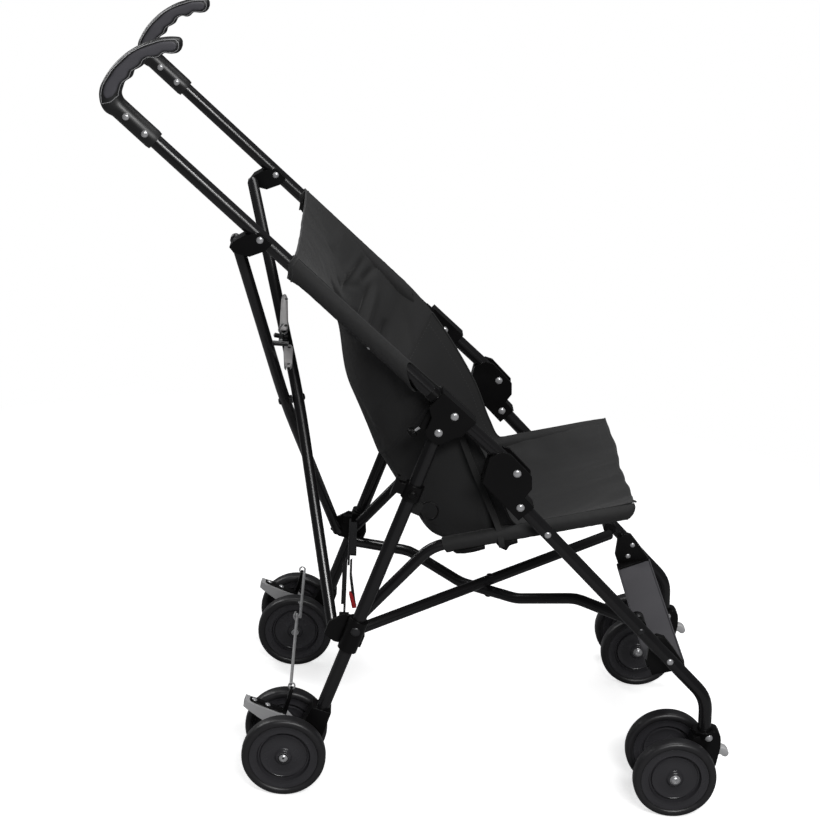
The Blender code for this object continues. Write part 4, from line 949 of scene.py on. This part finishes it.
JUNCTION = from_axle(WING_EDGE)[0]


def back_edge(u):
    """Over the front of the handle sleeve, then inward below its end to the top of the wing."""
    p = across(on_handle(0.4135 - 0.26 * u, 0.0116), SIDE_Y - 0.0015)
    return p.lerp(JUNCTION, eased(u, 0.8, 1.0))


SEAT_RISE = heading(radians(15.0))
SEAT_OVER = heading(radians(105.0))
SEAT_TUBE_Y = SIDE_Y - 0.0237
seat_sides = [(x + REAR_AXLE_X, y, z) for x, y, z in WING_EDGE]
seat_sides += [across(SEAT_PIN + SEAT_RISE * reach + SEAT_OVER * 0.0104, SEAT_TUBE_Y + 0.001)
               for reach in (0.0, 0.044, 0.085, 0.1235)]


def spot(grid, u, v):
    """The place at (u, v) on a grid of rows, with v from -1 to 1 across it."""
    i = min(max(u, 0.0), 1.0) * (len(grid) - 1)
    k = (min(max(v, -1.0), 1.0) + 1) / 2 * (len(grid[0]) - 1)
    a, b = min(int(i), len(grid) - 2), min(int(k), len(grid[0]) - 2)
    return grid[a][b].lerp(grid[a][b + 1], k - b).lerp(grid[a + 1][b].lerp(grid[a + 1][b + 1], k - b), i - a)


def traced(grid, start, end, count):
    """Points along the grid from one (u, v) to another."""
    return [spot(grid, start[0] + (end[0] - start[0]) * t / count, start[1] + (end[1] - start[1]) * t / count)
            for t in range(count + 1)]


STITCH_PITCH = 0.0052


def seam(grid, start, end, count):
    """Evenly spaced (place, direction) pairs for the stitches from one (u, v) to another."""
    path = traced(grid, start, end, count)
    places = []
    run = STITCH_PITCH / 2
    for a, b in zip(path, path[1:]):
        length = (b - a).length
        while run < length:
            places.append((a.lerp(b, run / length), (b - a).normalized()))
            run += STITCH_PITCH
        run -= length
    return places


back_grid = sling_grid(back_edge, BACK_MIDDLE, lambda u: 0.3 * eased(u, 0.45, 1.0), 130, 170, BACK_CREASES, 4.0)
back = sheet_piece("back_panel", back_grid, weave, "right_frame")
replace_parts(back, "back_cloth")
fold_squash(back)
seat_grid = sling_grid(lambda u: curve_through(seat_sides, u), SEAT_MIDDLE,
                       lambda u: 0.3 + 0.3 * eased(u, 0.0, 0.3) - 0.4 * eased(u, 0.6, 1.0),
                       100, 100, SEAT_CREASES, 9.0)
for i, row in enumerate(seat_grid):
    slack = eased(i / 100, 0.88, 1.0)
    for k, p in enumerate(row):
        v = 2 * k / 100 - 1
        row[k] = p + SEAT_RISE * (slack * 0.005 * noise.noise(Vector((v * 4.0, 0.4, 2.2)))) \
            + SEAT_OVER * (slack * 0.003 * noise.noise(Vector((v * 5.0, 4.1, 0.6))))
seat = sheet_piece("seat_sling", seat_grid, weave, "right_frame")
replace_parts(seat, "seat_cloth")
fold_squash(seat)


# The seams: black thread along the hems, a rolled binding on the free edges, and the webbing that is sewn
# down the outside of each wing. The stitches are laid by the same kind of node tree as the rivets.

stitches = head_tree("laid_stitches", 8, 5)
thread = finish("black_thread", (0.034, 0.034, 0.035), 0.6, tone=0.1)
binding = finish("black_binding", (0.0085, 0.0085, 0.0087), 0.7, grain=2400, depth=0.00008, sheen=0.15)
back_rows = seam(back_grid, (0.012, -0.96), (0.012, 0.96), 200)
back_rows += seam(back_grid, (0.06, -0.95), (0.06, 0.95), 200)
seat_rows = seam(seat_grid, (0.99, -0.93), (0.99, 0.93), 200)
seat_rows += seam(seat_grid, (0.955, -0.93), (0.955, 0.93), 200)
seat_rows += seam(seat_grid, (0.016, -0.97), (0.016, 0.97), 260)
for sign in (-1.0, 1.0):
    back_rows += seam(back_grid, (0.015, sign * 0.945), (0.83, sign * 0.945), 200)
    seat_rows += seam(seat_grid, (0.01, sign * 0.955), (0.48, sign * 0.955), 160)
    seat_rows += seam(seat_grid, (0.52, sign * 0.9), (0.98, sign * 0.9), 160)
for name, rows in (("back_stitches", back_rows), ("seat_stitches", seat_rows)):
    fold_squash(heads(name, "right_frame", rows, 0.00078, 0.0017, thread, stitches))
back_top = swept(traced(back_grid, (0.0, -0.99), (0.0, 0.99), 90), 0.00135, 8)
fold_squash(piece("back_binding", back_top, binding, "right_frame", 60.0))
edges = [swept(traced(seat_grid, (1.0, -1.0), (1.0, 1.0), 90), 0.00135, 8)]
edges += [swept(traced(seat_grid, (0.0, sign), (0.52, sign), 70), 0.0015, 8) for sign in (-1.0, 1.0)]
fold_squash(piece("seat_binding", gathered(edges), binding, "right_frame", 60.0))


def strip_grid(path, sideways, width):
    """Rows of three points across a flat strip that follows a path."""
    rows = []
    for i, p in enumerate(path):
        tangent = (path[min(i + 1, len(path) - 1)] - path[max(i - 1, 0)]).normalized()
        side = (sideways - tangent * sideways.dot(tangent)).normalized()
        rows.append([p - side * (width / 2), p, p + side * (width / 2)])
    return rows


BAND = tenths((1900, 5560), (2085, 5250), (2325, 4730), (2530, 4320), (2725, 3920), (2790, 3680))
for side, sign in SIDES:
    path = []
    for i, p in enumerate(smooth_path(BAND, 40)):
        out = 0.1738 + 0.011 * eased(i / 40, 0.72, 0.97)
        path.append(Vector((p.x + REAR_AXLE_X, sign * out, p.y)))
    band = strip_grid(path, Vector((1, 0, 0)), 0.008)
    fold_squash(sheet_piece("wing_webbing_" + side, band, webbing, "right_frame", 0.0013))


# The sleeves: the cloth's side edges turned round the tubes and sewn down, loose enough to slide on,
# so each is a slack tube with small folds across it, gathered at its ends.

def sleeve_grid(start, end, y, radius, slack, gather, seed, slant):
    """Rows round the tube from end to end, slack underneath and cut at a slant at the far end."""
    sign = copysign(1, y)
    lift = (end - start).normalized().cross(SIDEWAYS).normalized()
    if lift.z < 0:
        lift = -lift
    grid = []
    for i in range(81):
        share = i / 80
        bunched = exp(-(share / 0.06) ** 2) + 0.5 * exp(-((1 - share) / 0.05) ** 2)
        row = []
        for k in range(33):
            angle = 2 * pi * k / 32
            c, s = cos(angle), sin(angle)
            below = max(0.0, -s)
            hang = below ** 1.5 * (slack + gather * bunched)
            waver = 0.0007 * noise.noise(Vector((share * 22 + seed, c, s)))
            waver += 0.0004 * noise.noise(Vector((share * 60 + seed, c * 2, s * 2)))
            waver += bunched * below * 0.0016 * noise.noise(Vector((share * 90 + seed, c * 3, 0.7)))
            r = radius + hang + abs(waver)
            outward = (1 + sign * cos(angle - 0.9 * sign)) / 2
            cut = 0.055 * below if slant > 0.1 else 0.0
            p = across(start.lerp(end, cut + share * (1 - slant * outward - cut)), y)
            row.append(p + SIDEWAYS * (r * c) + lift * (r * s))
        grid.append(row)
    return grid


for side, sign in SIDES:
    pocket = sleeve_grid(on_handle(0.414), on_handle(0.172), sign * SIDE_Y, 0.0108, 0.0018, 0.003, 3.0 + sign, 0.16)
    cuffs = []
    for loop in (pocket[0][:-1], pocket[2][:-1]):
        centre = sum(loop, Vector()) / 32
        loop = [p + (p - centre) * (0.04 + 0.1 * noise.noise(p * 190.0)) for p in loop]
        cuffs.append(swept(loop, 0.0011, 8, True))
    piece("sleeve_cuff_" + side, gathered(cuffs), binding, side + "_frame", 60.0)
    sheet_piece("back_sleeve_" + side, pocket, weave, side + "_frame")
    front_end = SEAT_PIN + SEAT_RISE * 0.124
    tube_y = sign * SEAT_TUBE_Y
    pocket = sleeve_grid(front_end, SEAT_PIN - SEAT_RISE * 0.138, tube_y, 0.0093, 0.0016, 0.0006, 7.0 + sign, -0.02)
    centre = across(front_end + SEAT_OVER * 0.0085, tube_y)
    for row, share in zip(pocket, (0.0, 0.3, 0.62, 0.86)):
        row[:] = [centre.lerp(p, 0.25 + 0.75 * share) for p in row]
    sheet_piece("seat_sleeve_" + side, pocket, weave, side + "_rear_leg")


# The fittings on the sides: moulded buckles under the seat tube where the webbing ends, a wire ring on a webbing tab
# at the rear leg, and a strap round the handle that ends in a ribbed knob on a steel screw.

BUCKLES = (
    tenths(
    (2120, 3560), (2380, 3615), (2560, 3670), (2570, 3615), (2420, 3560), (2300, 3530), (2180, 3520)),
    tenths((2700, 3720), (2990, 3790), (3010, 3735), (2900, 3690), (2860, 3610), (2760, 3650)))
TAB = tenths((1475, 4230), (1560, 4185), (1650, 4150))
STRAP = tenths((1660, 5700), (1800, 5715), (1655, 5400), (1590, 5335), (1525, 5385))
KNOB_AXIS = Vector((-0.78, 0.0, -0.62))
KNOB_UP = Vector((-0.62, 0.0, 0.78))
KNOB_PROFILE = tenths((0, 30), (6, 55), (35, 64), (65, 64), (90, 52), (98, 26))
for side, sign in SIDES:
    body, leg = side + "_frame", side + "_rear_leg"
    middle_y = sign * SIDE_Y
    inner = sign * SEAT_TUBE_Y
    for number, outline in enumerate(BUCKLES):
        plastic("seat_buckle_%s_%d" % (side, number + 1), sliced(outline, inner, 0.0095), leg, rounding=0.0014)
    ring_y = sign * (SIDE_Y - 0.01)
    tab = strip_grid(from_axle(TAB, ring_y), Vector((0.3, 0, 1)), 0.0175)
    sheet_piece("ring_tab_" + side, tab, webbing, leg, 0.0022)
    hoop = [Vector((REAR_AXLE_X + 0.1755 + 0.0122 * c, ring_y + sign * 0.002 * c, 0.4145 + 0.0128 * s))
            for c, s in circle(40)]
    piece("wire_ring_" + side, swept(hoop, 0.0013, 8, True), moulded, leg, 60.0)
    collar = [[across(on_handle(up, r * c), middle_y + r * s) for c, s in circle(28)]
              for up, r in ((0.1505, 0.0093), (0.151, 0.0102), (0.161, 0.0102), (0.1615, 0.0093))]
    plastic("handle_collar_" + side, lofted(collar), body, 40.0)
    plastic("knob_strap_" + side, sliced(STRAP, middle_y, 0.0022), body, rounding=0.0009)
    knob = Vector((REAR_AXLE_X + 0.1475, middle_y, 0.5325))
    lobes = []
    for step, r in KNOB_PROFILE:
        ring = []
        for k in range(48):
            angle = 2 * pi * k / 48
            rr = r * (1 + 0.1 * cos(8 * angle))
            ring.append(knob + KNOB_AXIS * step + SIDEWAYS * (rr * cos(angle)) + KNOB_UP * (rr * sin(angle)))
        lobes.append(ring)
    plastic("strap_knob_" + side, lofted(lobes), body, 50.0)
    screw = swept([knob - KNOB_AXIS * 0.0075, knob + KNOB_AXIS * 0.002], 0.0019, 16)
    piece("strap_screw_" + side, screw, zinc, body, 50.0)
    snap = [(across(on_handle(0.262, -0.0105), sign * (SIDE_Y + 0.0055)), (-0.5, sign * 0.8, -0.4))]
    heads("sleeve_snap_" + side, body, snap, 0.0032, 0.0018, zinc)
